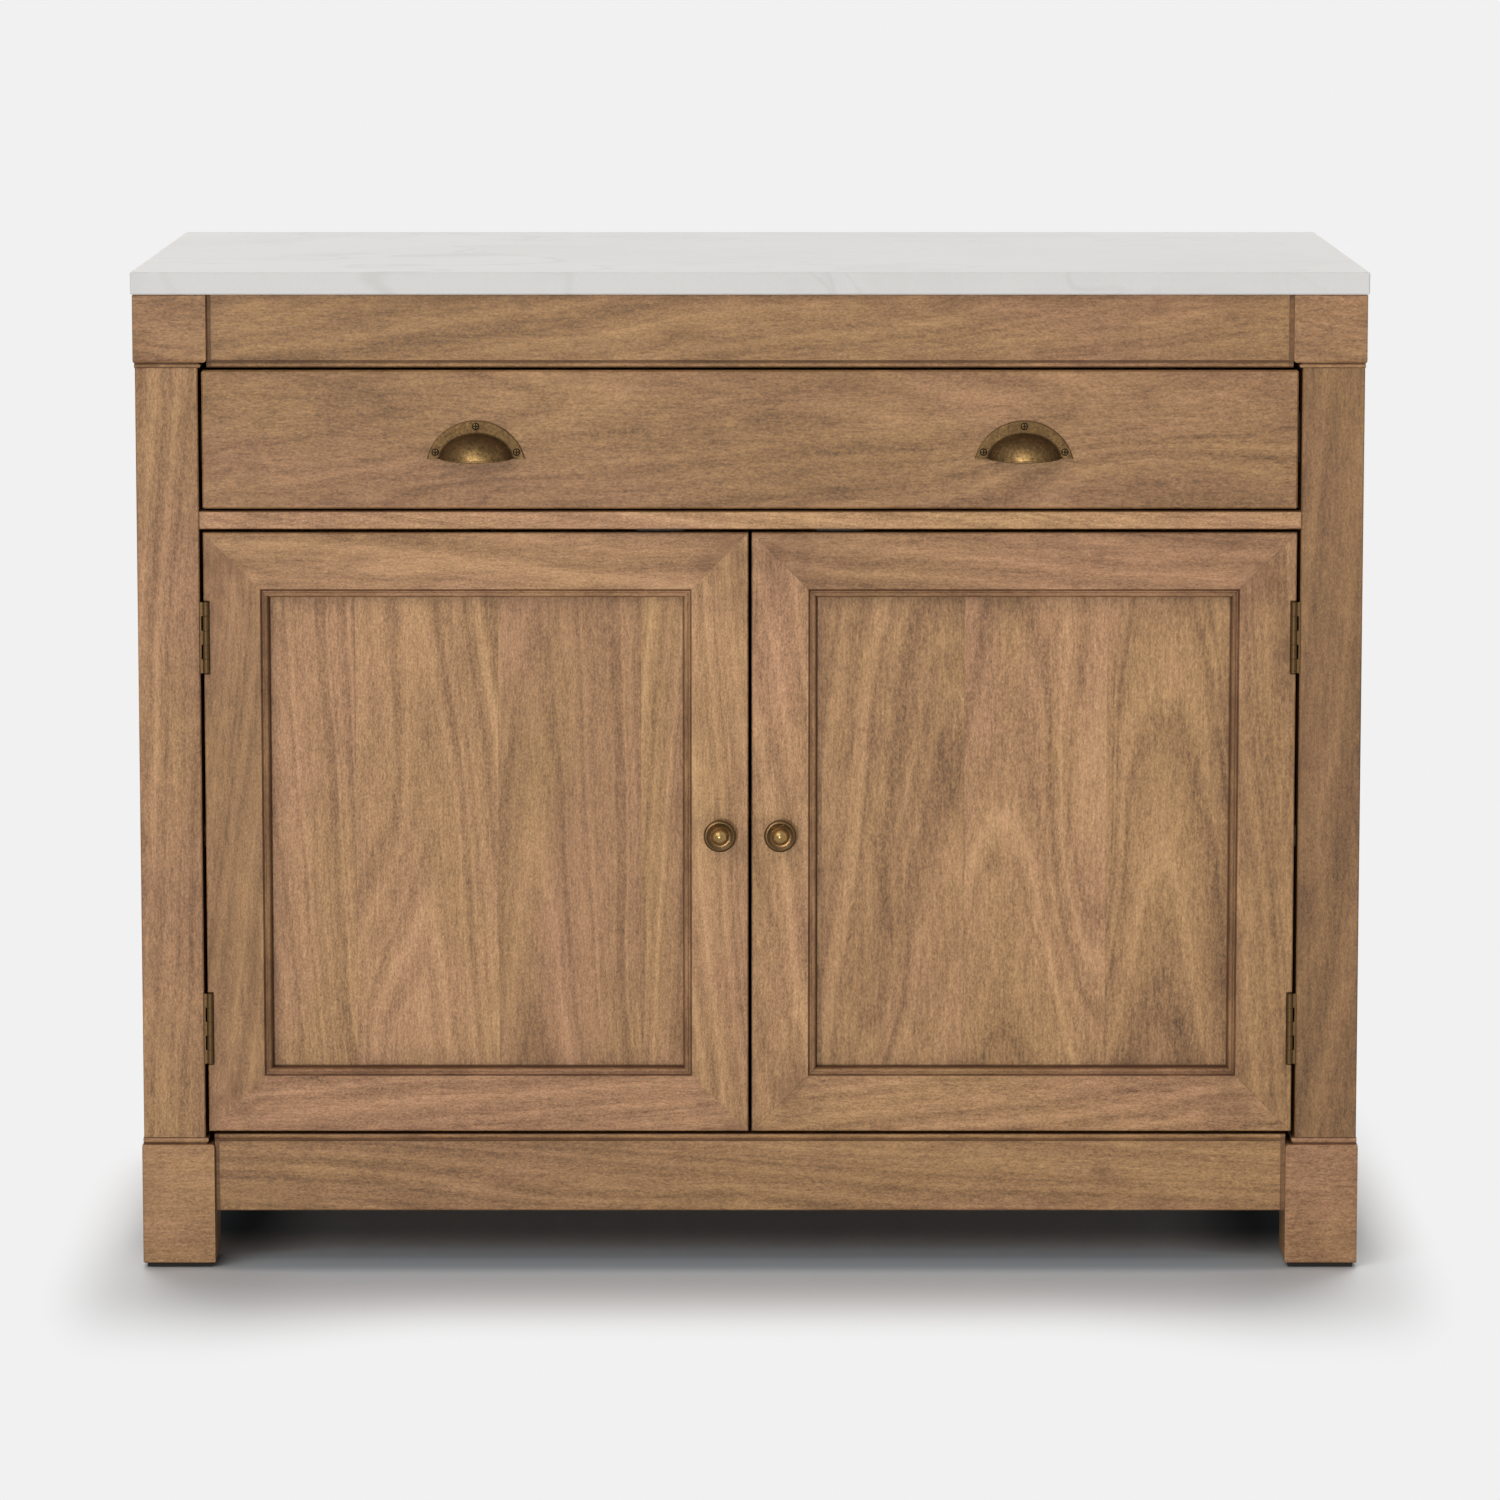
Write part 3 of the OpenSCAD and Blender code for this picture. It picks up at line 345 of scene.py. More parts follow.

# Fixed boards that the running gaps round the doors and the drawer front lie against, whose faces
# in the gaps are painted with shade
GAP_BOARDS = ("post_front_left", "post_front_right", "top_rail_front", "bottom_rail_front",
              "drawer_rail")
GAP = 3.5 * MM  # running gap, with a little to spare
GAP_OVERLAP = 0.5 * MM  # how far the painted shade of a gap goes in behind the edge of door and drawer
GAP_DEPTH = (0.9 * MM, 24 * MM)  # where it starts and ends, behind the face
SLIT = 2.2 * MM  # half the gap between the doors
GAP_SHADE = 0.6  # share of the colour that the painted shade in a gap takes away
SHARP, SOFT = 0.2 * MM, 0.4 * MM  # how soft the edges of gaps and of stains are

# Moulding on a door's stiles and rails: distances from their inner edge, then depths
QUIRK = (7.4 * MM, 5.7 * MM)
BEAD = (6.4 * MM, 5.6 * MM)
DROP = (2.4 * MM, 1.6 * MM)
DROP_DEPTH = (2.6 * MM, 4.5 * MM)
MOULDING_DEPTH = (14 * MM, 15 * MM)
MITRE = 34 * MM  # from a door's corner to the middle of its mitre, along both sides

# How strong the stain is in a quirk, on a bead across x (stiles) or z (rails), on a rail's sunk
# strip, where it is also painted shade of the block beside it, and in a block's quirk and corner
QUIRK_STAIN, BEAD_STAIN, STRIP_STAIN_AND_SHADE, BLOCK_STAIN = 0.75, {"x": 0.4, "z": 0.2}, 0.5, (0.8, 0.6)
# Stains that fade away from a line: how far they reach, how strong they are, where they start
EDGE_LINE = (2.0 * MM, 0.2)  # along the edges of a board
EDGE_DIRT = (26 * MM, 0.22)  # wide and patchy, along the same edges
JOINT_LINE = (0.9 * MM, 0.14)  # where two boards of a panel are glued
PANEL_LINE = (1.3 * MM, 0.5, 0.5 * MM)  # where a panel goes into its frame
MITRE_LINE = (0.9 * MM, 0.3, 0.1 * MM)
MITRE_SMUDGE = (62 * MM, 0.34, 8 * MM)

# Rails: the tenon at each end, the sunk strip beside it and the bead
TENON, STRIP, RAIL_BEAD = 18 * MM, 4.1 * MM, 4.5 * MM
FOOT_MOULD, CAPITAL_MOULD = 9.5 * MM, 7.5 * MM  # height of the moulding on the blocks
MOULD_QUIRK = (0.46, 0.66)  # where its quirk lies, in shares of that height
BLOCK_CORNER = (0.7 * MM, MM)  # the corner between block and post, on the block and past it
PANEL_GROOVE = 8 * MM  # how deep the fixed panels sit in their grooves
PANEL_LEAST = 0.1  # every panel is wider and taller than this, and less thick


def board_frame(name, along, face):
    """Rotation and shift from the cabinet's frame to the board's, and the board's seed. The
    board's axes run across, into and along it, and its origin is the heart of the grain, a
    random way off the face and to one side."""
    rows = {"x": (1, 0, 0), "y": (0, 1, 0), "z": (0, 0, 1)}
    across = ({"x", "y", "z"} - {along, face}).pop()
    turn = Matrix((rows[across], rows[face], rows[along]))
    if turn.determinant() < 0:
        turn[0] = -turn[0]
    low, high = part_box(name)
    draw = np.random.default_rng(zlib.crc32(name.encode()))
    heart = (Vector(low) + Vector(high)) / 2
    width = (Vector(high) - Vector(low))["xyz".index(across)]
    aside = float(draw.uniform(-HEART_ASIDE, HEART_ASIDE))
    heart["xyz".index(across)] += aside * width if width > ARCH_W else math.copysign(
        HEART_OFF[0] + HEART_OFF[1] * abs(aside), aside)
    heart["xyz".index(face)] += float(draw.uniform(*HEART_BEHIND))
    return turn.to_euler("XYZ"), -(turn @ heart), float(draw.uniform(0, 10))


def grain_group(wood):
    """Node group of the grain. From the place in a board's frame it gives the colour, the
    height of the pores and the gloss.

    Growth rings are random bands of: distance from the heart, plus a taper along the board,
    plus a slow warp. On a face beside the heart they cut arches. Fibres and pores are noise
    drawn out along the board. Each noise is stretched by its waves a metre: across, into and
    along the board."""
    tree = bpy.data.node_groups.new("island_grain", "ShaderNodeTree")
    for name, kind in (("Place", "Vector"), ("Seed", "Float"), ("Taper", "Float"),
                       ("Shade", "Float"), ("Stain", "Float"), ("Swell", "Float"),
                       ("Honey", "Float"), ("Figure", "Float")):
        tree.interface.new_socket(name, in_out="INPUT", socket_type=f"NodeSocket{kind}")
    for name, kind in (("Color", "Color"), ("Height", "Float"), ("Roughness", "Float")):
        tree.interface.new_socket(name, in_out="OUTPUT", socket_type=f"NodeSocket{kind}")
    r = Recipe(tree)
    given = r.node("NodeGroupInput").outputs
    place = r.shifted(given["Place"], given["Seed"])

    slow = r.noise(r.stretched(place, 4, 4, 0.9), 2)
    quick = r.noise(r.stretched(place, 22, 22, 5), 2)
    x, y, z = r.parts(given["Place"])
    from_heart = r.vector("LENGTH", r.join(x, y, 0.0))
    depth = r.total(from_heart, r.math("MULTIPLY", z, given["Taper"]), given["Swell"],
                    r.swing(slow, 0.06), r.swing(quick, 0.012))
    rings = r.noise_along(depth, 1 / wood.ring_gap, 2, 0.6)
    late = r.smooth(r.noise_along(depth, 0.75 / wood.ring_gap, 2, 0.5), 0.55, 0.68)
    across = 1 / wood.fibre
    specks = r.noise(r.stretched(place, across, across, across / 1.9), 1, 0.6)
    fibres = r.noise(r.stretched(place, across / 1.7, across / 1.7, across / 8), 2, 0.65)
    streaks = r.noise(r.stretched(place, across / 3, across / 3, across / 40), 3, 0.6)
    pores = r.smooth(r.noise(r.stretched(place, across, across, across / 5), 1), 0.60, 0.74)
    clouds = r.noise(r.stretched(place, 9, 9, 3), 3, 0.6)
    mottle = r.noise(r.stretched(place, 55, 55, 28), 3, 0.6)

    uneven = r.noise(r.stretched(place, 30, 30, 9), 2)
    late = r.math("MULTIPLY", late, r.smooth(uneven, 0.3, 0.6, -0.04, -0.17))
    figure = r.math("MULTIPLY", r.total(late, r.swing(rings, RINGS)), given["Figure"])
    shade = r.total(1.0, figure, r.swing(specks, SPECKS), r.swing(fibres, FIBRES),
                    r.swing(streaks, STREAKS), r.swing(clouds, CLOUDS), r.swing(mottle, MOTTLE))
    shade = r.math("MULTIPLY", r.math("MAXIMUM", shade, 0.2), given["Shade"])
    warm = r.noise(r.shifted(r.stretched(place, 8, 8, 2.4), 1.0), 3, 0.55, distortion=0.3)
    tint = r.mix(r.smooth(r.total(warm, given["Honey"]), 0.32, 0.68), tuple(wood.rose),
                 tuple(wood.honey))
    tint = r.mix(0.5, tuple(wood.tan), tint)
    lit = r.vector("MULTIPLY", tint, r.join(shade, r.math("POWER", shade, 1.15),
                                            r.math("POWER", shade, 1.4)))
    stain = r.math("MINIMUM", 1.0, r.total(given["Stain"], r.math("MULTIPLY", pores, PORES)))
    worn = r.mix(stain, lit, tuple(wood.umber))
    height = r.total(r.swing(specks, 0.8), r.swing(fibres, 0.6), r.math("MULTIPLY", pores, -0.6))
    gloss = r.total(0.50, r.swing(fibres, 0.16), r.math("MULTIPLY", given["Stain"], 0.15))
    r.node("NodeGroupOutput", [("Color", worn), ("Height", height), ("Roughness", gloss)])
    return tree


def glued_boards(recipe, place, seed):
    """The place within a panel of glued boards, each with its own heart, then the board's own
    tone and the distance to the nearest joint."""
    x, y, z = recipe.parts(place)
    count = recipe.math("FLOOR", recipe.math("DIVIDE", x, BOARD_W))
    draw = recipe.node("ShaderNodeTexWhiteNoise", [("W", recipe.total(count, seed))],
                       noise_dimensions="1D")
    one, two, three = recipe.parts(draw.outputs["Color"])
    middle = recipe.math("MULTIPLY", recipe.total(count, 0.5), BOARD_W)
    own_x = recipe.total(recipe.math("SUBTRACT", x, middle), recipe.swing(one, BOARD_SHIFT[0]))
    own_z = recipe.total(z, recipe.math("MULTIPLY", two, BOARD_SHIFT[1]))
    side = recipe.math("SUBTRACT", x, recipe.math("MULTIPLY", count, BOARD_W))
    joint = recipe.math("MINIMUM", side, recipe.math("SUBTRACT", BOARD_W, side))
    return recipe.join(own_x, y, own_z), recipe.swing(three, BOARD_TONE), joint


def edge_distance(recipe, place, low, high, axes):
    """Distance to the nearest edge of a box, along the named axes."""
    nearest = None
    for axis, value in zip("xyz", recipe.parts(place)):
        if axis not in axes:
            continue
        i = "xyz".index(axis)
        for way in (recipe.math("SUBTRACT", value, low[i]),
                    recipe.math("SUBTRACT", high[i], value)):
            nearest = way if nearest is None else recipe.math("MINIMUM", nearest, way)
    return nearest


def door_section_stain(recipe, place, name):
    """Stain in the quirk and the drop to the panel, from how deep and how far in a point is."""
    low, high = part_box(name)
    axis = "z" if name.endswith("_rail") else "x"
    i = "xyz".index(axis)
    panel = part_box(name[:name.index("_", 5)] + "_panel")
    outward_low = low[i] + high[i] < panel[0][i] + panel[1][i]
    value = recipe.parts(place)[i]
    width = high[i] - low[i]
    inward = recipe.math("SUBTRACT", value, low[i]) if outward_low else recipe.math(
        "SUBTRACT", high[i], value)
    deep = recipe.math("SUBTRACT", recipe.parts(place)[1], low[1])
    quirk = recipe.band(inward, width - QUIRK[0], width - QUIRK[1], SOFT)
    drop = recipe.math("MULTIPLY", recipe.smooth(inward, width - DROP[0], width - DROP[1]),
                       recipe.smooth(deep, *DROP_DEPTH))
    bead = recipe.math("MULTIPLY", recipe.smooth(inward, width - BEAD[0], width - BEAD[1]),
                       BEAD_STAIN[axis])
    stain = recipe.math("MULTIPLY", recipe.math("MAXIMUM", quirk, drop), QUIRK_STAIN)
    stain = recipe.math("MAXIMUM", stain, bead)
    return recipe.math("MULTIPLY", stain,
                       recipe.fading(deep, MOULDING_DEPTH[1], 1.0, MOULDING_DEPTH[0]))


def door_box(name):
    """Lowest and highest corner of the door that the named member belongs to."""
    side = name[:name.index("_", 5)]
    stiles = [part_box(f"{side}_{kind}_stile") for kind in ("hinge", "meeting")]
    return min(s[0] for s in stiles), max(s[1] for s in stiles)


def inside(recipe, place, **spans):
    """One inside the spans along the named axes, zero outside: (start, end, soft) each."""
    result = None
    for axis, span in spans.items():
        within = recipe.band(recipe.parts(place)["xyz".index(axis)], *span)
        result = within if result is None else recipe.math("MULTIPLY", result, within)
    return result


def gap_painted_shade(recipe, place):
    """Where shade is painted: one inside the running gaps, in the rings round the doors and round
    the drawer front and in the slit between the doors, from a little behind the face to the back
    of the gap."""
    left, right = (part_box(f"door_{side}_hinge_stile") for side in ("left", "right"))
    doors = (left[0], right[1])
    rings = []
    for low, high in (doors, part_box("drawer_front")):
        deep = (low[1] + GAP_DEPTH[0], low[1] + GAP_DEPTH[1], SOFT)
        outer, inner = (inside(recipe, place, y=deep, x=(low[0] - out, high[0] + out, SHARP),
                               z=(low[2] - out, high[2] + out, SHARP))
                        for out in (GAP, -GAP_OVERLAP))
        rings.append(recipe.math("SUBTRACT", outer, inner))
    low, high = doors
    slit = inside(recipe, place, x=(-SLIT, SLIT, SHARP), z=(low[2], high[2], SHARP),
                  y=(low[1] + GAP_DEPTH[0], low[1] + GAP_DEPTH[1], SOFT))
    return recipe.math("MAXIMUM", recipe.math("MAXIMUM", *rings), slit)


def corner_smudge(recipe, place, name):
    """Patchy stain near the corners of a door, where the finish gathers at the mitres."""
    low, high = door_box(name)
    x, _, z = recipe.parts(place)
    nearest = None
    for cx in (low[0] + MITRE, high[0] - MITRE):
        for cz in (low[2] + MITRE, high[2] - MITRE):
            away = recipe.vector("LENGTH", recipe.join(recipe.math("SUBTRACT", x, cx), 0.0,
                                                       recipe.math("SUBTRACT", z, cz)))
            nearest = away if nearest is None else recipe.math("MINIMUM", nearest, away)
    patchy = recipe.smooth(recipe.noise(recipe.stretched(place, 26, 26, 26), 3, 0.6), 0.42, 0.66)
    return recipe.math("MULTIPLY", recipe.fading(nearest, *MITRE_SMUDGE), patchy)


def mitre_line(recipe, place, name):
    """Thin stain where a door's stiles and rails meet, on the diagonals of its corners."""
    ways = [edge_distance(recipe, place, *door_box(name), axis) for axis in "xz"]
    off = recipe.math("ABSOLUTE", recipe.math("SUBTRACT", *ways))
    return recipe.fading(off, *MITRE_LINE)


def rail_stain_and_shade(recipe, place, name):
    """Stain mixed with painted shade of the blocks on the sunk strips at a rail's ends, and stain
    in the quirk beside its bead.
    """
    low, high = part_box(name)
    ends = edge_distance(recipe, place, low, high,
                         "x" if high[0] - low[0] > high[1] - low[1] else "y")
    strips = recipe.fading(ends, TENON + STRIP + SOFT, STRIP_STAIN_AND_SHADE, TENON + STRIP)
    z = recipe.parts(place)[2]
    near, far = RAIL_BEAD, 1.45 * RAIL_BEAD
    quirk = (low[2] + near, low[2] + far) if name.startswith("top") else (
        high[2] - far, high[2] - near)
    return recipe.math("MAXIMUM", strips,
                       recipe.math("MULTIPLY", recipe.band(z, *quirk, SOFT), QUIRK_STAIN))


def block_stain(recipe, place, name):
    """Stain in the quirk of a block's moulding, and in the corner between block and post."""
    low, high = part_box(name)
    z = recipe.parts(place)[2]
    near, far = MOULD_QUIRK
    if name == "foot_blocks":
        quirk = (high[2] - far * FOOT_MOULD, high[2] - near * FOOT_MOULD)
        corner = (high[2] - BLOCK_CORNER[0], high[2] + BLOCK_CORNER[1])
    else:
        quirk = (low[2] + near * CAPITAL_MOULD, low[2] + far * CAPITAL_MOULD)
        corner = (low[2] - BLOCK_CORNER[1], low[2] + BLOCK_CORNER[0])
    return recipe.math("MAXIMUM",
                       recipe.math("MULTIPLY", recipe.band(z, *quirk, SOFT), BLOCK_STAIN[0]),
                       recipe.math("MULTIPLY", recipe.band(z, *corner, SOFT), BLOCK_STAIN[1]))


def panel_opening(name):
    """The part of a panel that shows, as a lowest and a highest corner."""
    low, high = (list(c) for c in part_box(name))
    if name.startswith("door"):
        door = name[:name.index("_panel")]
        stiles = [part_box(f"{door}_{s}_stile") for s in ("hinge", "meeting")]
        rails = [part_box(f"{door}_{s}_rail") for s in ("bottom", "top")]
        low[0], high[0] = (min(s[1][0] for s in stiles), max(s[0][0] for s in stiles))
        low[2], high[2] = (rails[0][1][2], rails[1][0][2])
    else:
        for i in range(3):
            if high[i] - low[i] > PANEL_LEAST:
                low[i], high[i] = low[i] + PANEL_GROOVE, high[i] - PANEL_GROOVE
    return low, high


def knot_marks(recipe, place, face, across, up, half_w, half_h, swell, dark):
    """Swell of the rings and stain round a knot, from the distance to its middle in parts of
    its half width and height, made uneven by noise."""
    x, y, z = recipe.parts(place)
    sideways = recipe.math("SUBTRACT", x if face == "y" else y, across * MM)
    upward = recipe.math("SUBTRACT", z, up * MM)
    away = recipe.vector("LENGTH", recipe.join(
        recipe.math("DIVIDE", sideways, half_w * MM), recipe.math("DIVIDE", upward, half_h * MM),
        recipe.swing(recipe.noise(recipe.stretched(place, 40, 40, 40), 2), 1.1)))
    bend = recipe.fading(away, 1.25, swell * MM)
    patchy = recipe.noise(recipe.stretched(place, 90, 90, 90), 2, 0.6)
    mark = recipe.math("MULTIPLY", recipe.fading(away, 1.1, dark, 0.1),
                       recipe.smooth(patchy, 0.2, 0.6, 0.35, 1.0))
    return bend, mark


def wood_material(name, along, face, tone, group, panel=False, waxed=True):
    """Wood for one piece: its own grain, its own stain in corners and along edges, painted shade
    where a fixed board lies in a running gap, and stain mixed with painted shade on the sunk
    strips at the rails' ends.
    """
    material, recipe, shader = new_material(f"wood_{name}")
    place = recipe.place()
    turn, shift, seed = board_frame(name, along, face)
    mapping = recipe.node("ShaderNodeMapping", [("Vector", place), ("Location", shift),
                                                ("Rotation", turn)])
    board = mapping.outputs[0]
    shade = tone
    low, high = panel_opening(name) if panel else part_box(name)
    across = {"x", "y", "z"} - {face}
    near = edge_distance(recipe, place, low, high, across)
    dirt = recipe.smooth(recipe.noise(recipe.stretched(place, 30, 30, 30), 2), 0.35, 0.7)
    stain = recipe.total(recipe.fading(near, *EDGE_LINE),
                         recipe.math("MULTIPLY", recipe.fading(near, *EDGE_DIRT), dirt))
    if panel:
        board, own_tone, joint = glued_boards(recipe, board, seed)
        shade = recipe.total(tone, own_tone)
        stain = recipe.total(stain, recipe.fading(joint, *JOINT_LINE),
                             recipe.fading(near, *PANEL_LINE))
    elif name.startswith("door"):
        stain = recipe.total(stain, door_section_stain(recipe, place, name),
                             corner_smudge(recipe, place, name),
                             mitre_line(recipe, place, name))
    elif "_rail_" in name:
        stain = recipe.total(stain, rail_stain_and_shade(recipe, place, name))
    elif name.endswith("_blocks"):
        stain = recipe.total(stain, block_stain(recipe, place, name))
    # Painted shade on the fixed boards' faces inside the running gaps
    if name in GAP_BOARDS:
        lit = recipe.math("MULTIPLY_ADD", gap_painted_shade(recipe, place), -GAP_SHADE, 1.0)
        shade = recipe.math("MULTIPLY", lit, shade)
    swell = 0.0
    for knot in KNOTS.get(name, ()):
        bend, mark = knot_marks(recipe, place, face, *knot)
        swell, stain = recipe.total(bend, swell), recipe.total(stain, mark)
    taper = 0.05 + 0.008 * seed  # how much closer the rings lie, a metre along the board
    figure = 1.0 if panel or name in WIDE_BOARDS else NARROW_FIGURE
    grain = recipe.node("ShaderNodeGroup", [
        ("Place", board), ("Seed", seed), ("Taper", taper), ("Shade", shade), ("Stain", stain),
        ("Swell", swell), ("Honey", HONEY.get(name, 0.0)), ("Figure", figure)], node_tree=group)
    finish = grain.outputs["Color"]
    if not waxed:
        lifted = recipe.mix(1.0, finish, UNWAXED, "SCREEN")
        finish = recipe.mix(UNWAXED_SHARE, finish, lifted)
    connect(recipe, shader, Base_Color=finish, Roughness=grain.outputs["Roughness"],
            Normal=bump(recipe, grain.outputs["Height"], GRAIN_DEPTH))
    shader.inputs["Specular IOR Level"].default_value = WAX_SHEEN
    return material


class ISLAND_OT_wood(bpy.types.Operator):
    """Finishes the posts, rails, panels, blocks, doors and drawer front in waxed wood"""
    bl_idname = "island.wood"
    bl_label = "Waxed wood"

    def execute(self, context):
        group = grain_group(context.scene.island_wood)
        for name, (along, face, tone) in FRONT_BOARDS.items():
            give(wood_material(name, along, face, tone, group), name)
        for name, (along, face, tone) in PANELS.items():
            give(wood_material(name, along, face, tone, group, panel=True), name)
        return {"FINISHED"}


class ISLAND_OT_inner_wood(bpy.types.Operator):
    """Finishes the boards inside the cupboard and the drawer box"""
    bl_idname = "island.inner_wood"
    bl_label = "Inner boards"

    def execute(self, context):
        group = bpy.data.node_groups["island_grain"]
        for name, (along, face) in INNER_BOARDS.items():
            give(wood_material(name, along, face, 1.0, group, waxed=False), name)
        return {"FINISHED"}


# ---------------------------------------------------------------- stone, steel and pads

FELT_HOLLOW = (0.008, 0.007, 0.006)  # between the tufts of the pads


class ISLAND_OT_stone(bpy.types.Operator):
    """Finishes the worktop in pale marble with faint veins"""
    bl_idname = "island.stone"
    bl_label = "Marble worktop"

    def execute(self, context):
        stone = context.scene.island_stone
        material, r, shader = new_material("marble")
        place = r.place()
        bend = r.noise(r.stretched(place, 3, 5, 3), 3, 0.6)
        drift = r.vector("ADD", place, r.join(r.swing(bend, 0.35), r.swing(bend, 0.2), 0.0))
        ridge = r.math("ABSOLUTE", r.swing(r.noise(drift, 3, 0.55, scale=2.6), 1.0))
        veins = r.fading(ridge, 0.014, 1.0)
        patches = r.smooth(r.noise(place, 2, 0.5, scale=2.2), 0.38, 0.62)
        fine = r.math("ABSOLUTE", r.swing(r.noise(r.stretched(drift, 4, 8, 4), 3, 0.6), 1.0))
        hairs = r.math("MULTIPLY", r.fading(fine, 0.012, 1.0),
                       r.smooth(r.noise(place, 2, 0.5, scale=3.7), 0.42, 0.6))
        clouds = r.noise(drift, 4, 0.55, scale=5.0)
        faint = r.total(r.math("MULTIPLY", r.math("MULTIPLY", veins, patches), 0.24),
                        r.math("MULTIPLY", hairs, 0.16),
                        r.smooth(clouds, 0.4, 0.75, 0.0, 0.16))
        crystals = r.noise(place, 2, 0.6, scale=420.0)
        base = r.mix(faint, tuple(stone.ground), tuple(stone.vein))
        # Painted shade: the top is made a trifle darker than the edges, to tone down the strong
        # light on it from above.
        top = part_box("worktop")[1][2]
        top_shade = r.smooth(r.parts(place)[2], top - 1.0 * MM, top - 0.2 * MM, 1.0, 0.99)
        lit = r.total(top_shade, r.swing(crystals, 0.07))
        tone = r.vector("MULTIPLY", base, r.join(lit, lit, lit))
        connect(r, shader, Base_Color=tone, Roughness=r.smooth(crystals, 0.3, 0.7, 0.42, 0.55),
                Normal=bump(r, crystals, 0.00003))
        shader.inputs["Specular IOR Level"].default_value = STONE_SHEEN
        give(material, "worktop")
        return {"FINISHED"}


class ISLAND_OT_steel(bpy.types.Operator):
    """Finishes the runners and catches in dark steel, whose dark is painted shade for the gaps,
    and the pads in dark felt
    """
    bl_idname = "island.steel"
    bl_label = "Steel and pads"

    def execute(self, context):
        metal = context.scene.island_metal
        material, r, shader = new_material("runner_steel")
        place = r.place()
        drawn = r.noise(r.stretched(place, 900, 18, 900), 2, 0.6)
        spangle = r.noise(place, 2, 0.5, scale=160.0)
        lit = r.total(1.0, r.swing(drawn, 0.3), r.swing(spangle, 0.25))
        tone = r.vector("MULTIPLY", tuple(metal.steel), r.join(lit, lit, lit))
        connect(r, shader, Base_Color=tone, Roughness=r.smooth(spangle, 0.3, 0.7, 0.52, 0.64),
                Normal=bump(r, drawn, 0.00002))
        shader.inputs["Metallic"].default_value = 1.0
        give(material, "runner_channels", "runner_middles", "drawer_runners", "door_catches")

        felt, r, shader = new_material("foot_pad")
        place = r.place()
        tufts = r.noise(place, 4, 0.7, scale=900.0)
        base = r.mix(r.smooth(tufts, 0.3, 0.7), FELT_HOLLOW, tuple(metal.pad))
        connect(r, shader, Base_Color=base, Roughness=r.smooth(tufts, 0.2, 0.8, 0.8, 1.0),
                Normal=bump(r, tufts, 0.0003))
        give(felt, "foot_pads")
        return {"FINISHED"}


# ---------------------------------------------------------------- aged brass

GRIME_AND_SHADE = (0.012, 0.008, 0.006)  # dirt in the casting's pits; also the dark in the screws' cross recesses, and painted shade round their rims
CREASE = 40.0  # degrees between faces from which an edge is sharp


def brass_material(metal, name, rubbed, rough=0.3, cast=1.0):
    """Aged brass: a dark film that is bright where the wear attribute is high, rubbed there and on
    the cups also a painted highlight, and dark where it is far below zero: in the screws' cross
    recesses, and round their rims as painted shade.

    rubbed is how much of the film is gone all over, rough the roughness of the bright brass and
    cast how strongly the surface is pitted from casting."""
    material, r, shader = new_material(name)
    place = r.place()
    wear_and_painted_light = r.node("ShaderNodeAttribute", attribute_name="wear_and_painted_light").outputs["Fac"]
    speckle = r.noise(place, 3, 0.65, scale=420.0)
    blotch = r.noise(place, 3, 0.6, scale=110.0)
    bright = r.smooth(r.total(wear_and_painted_light, rubbed, r.swing(speckle, 0.25 + 0.4 * cast),
                              r.swing(blotch, 0.4)), 0.1, 0.95)
    tone = r.mix(bright, tuple(metal.patina), tuple(metal.brass))
    pits = r.smooth(speckle, 0.3, 0.42, 0.6 * cast, 0.0)
    # Dark where the attribute is far below zero: the screws' cross recesses, and painted shade
    # round their rims
    grime_and_shade = r.fading(wear_and_painted_light, -0.3, 0.85, -1.1)
    tone = r.mix(r.math("MAXIMUM", pits, grime_and_shade), tone, GRIME_AND_SHADE)
    connect(r, shader, Base_Color=tone, Roughness=r.smooth(bright, 0.0, 1.0, rough + 0.16, rough),
            Normal=bump(r, r.total(r.swing(blotch, 1.0), r.swing(speckle, 0.6)), 0.00025 * cast))
    shader.inputs["Metallic"].default_value = 0.9
    return material


def grid_faces(index):
    """Four-sided faces of a grid, from the numbers of its points."""
    return np.stack([index[:-1, :-1], index[1:, :-1], index[1:, 1:], index[:-1, 1:]],
                    axis=-1).reshape(-1, 4)


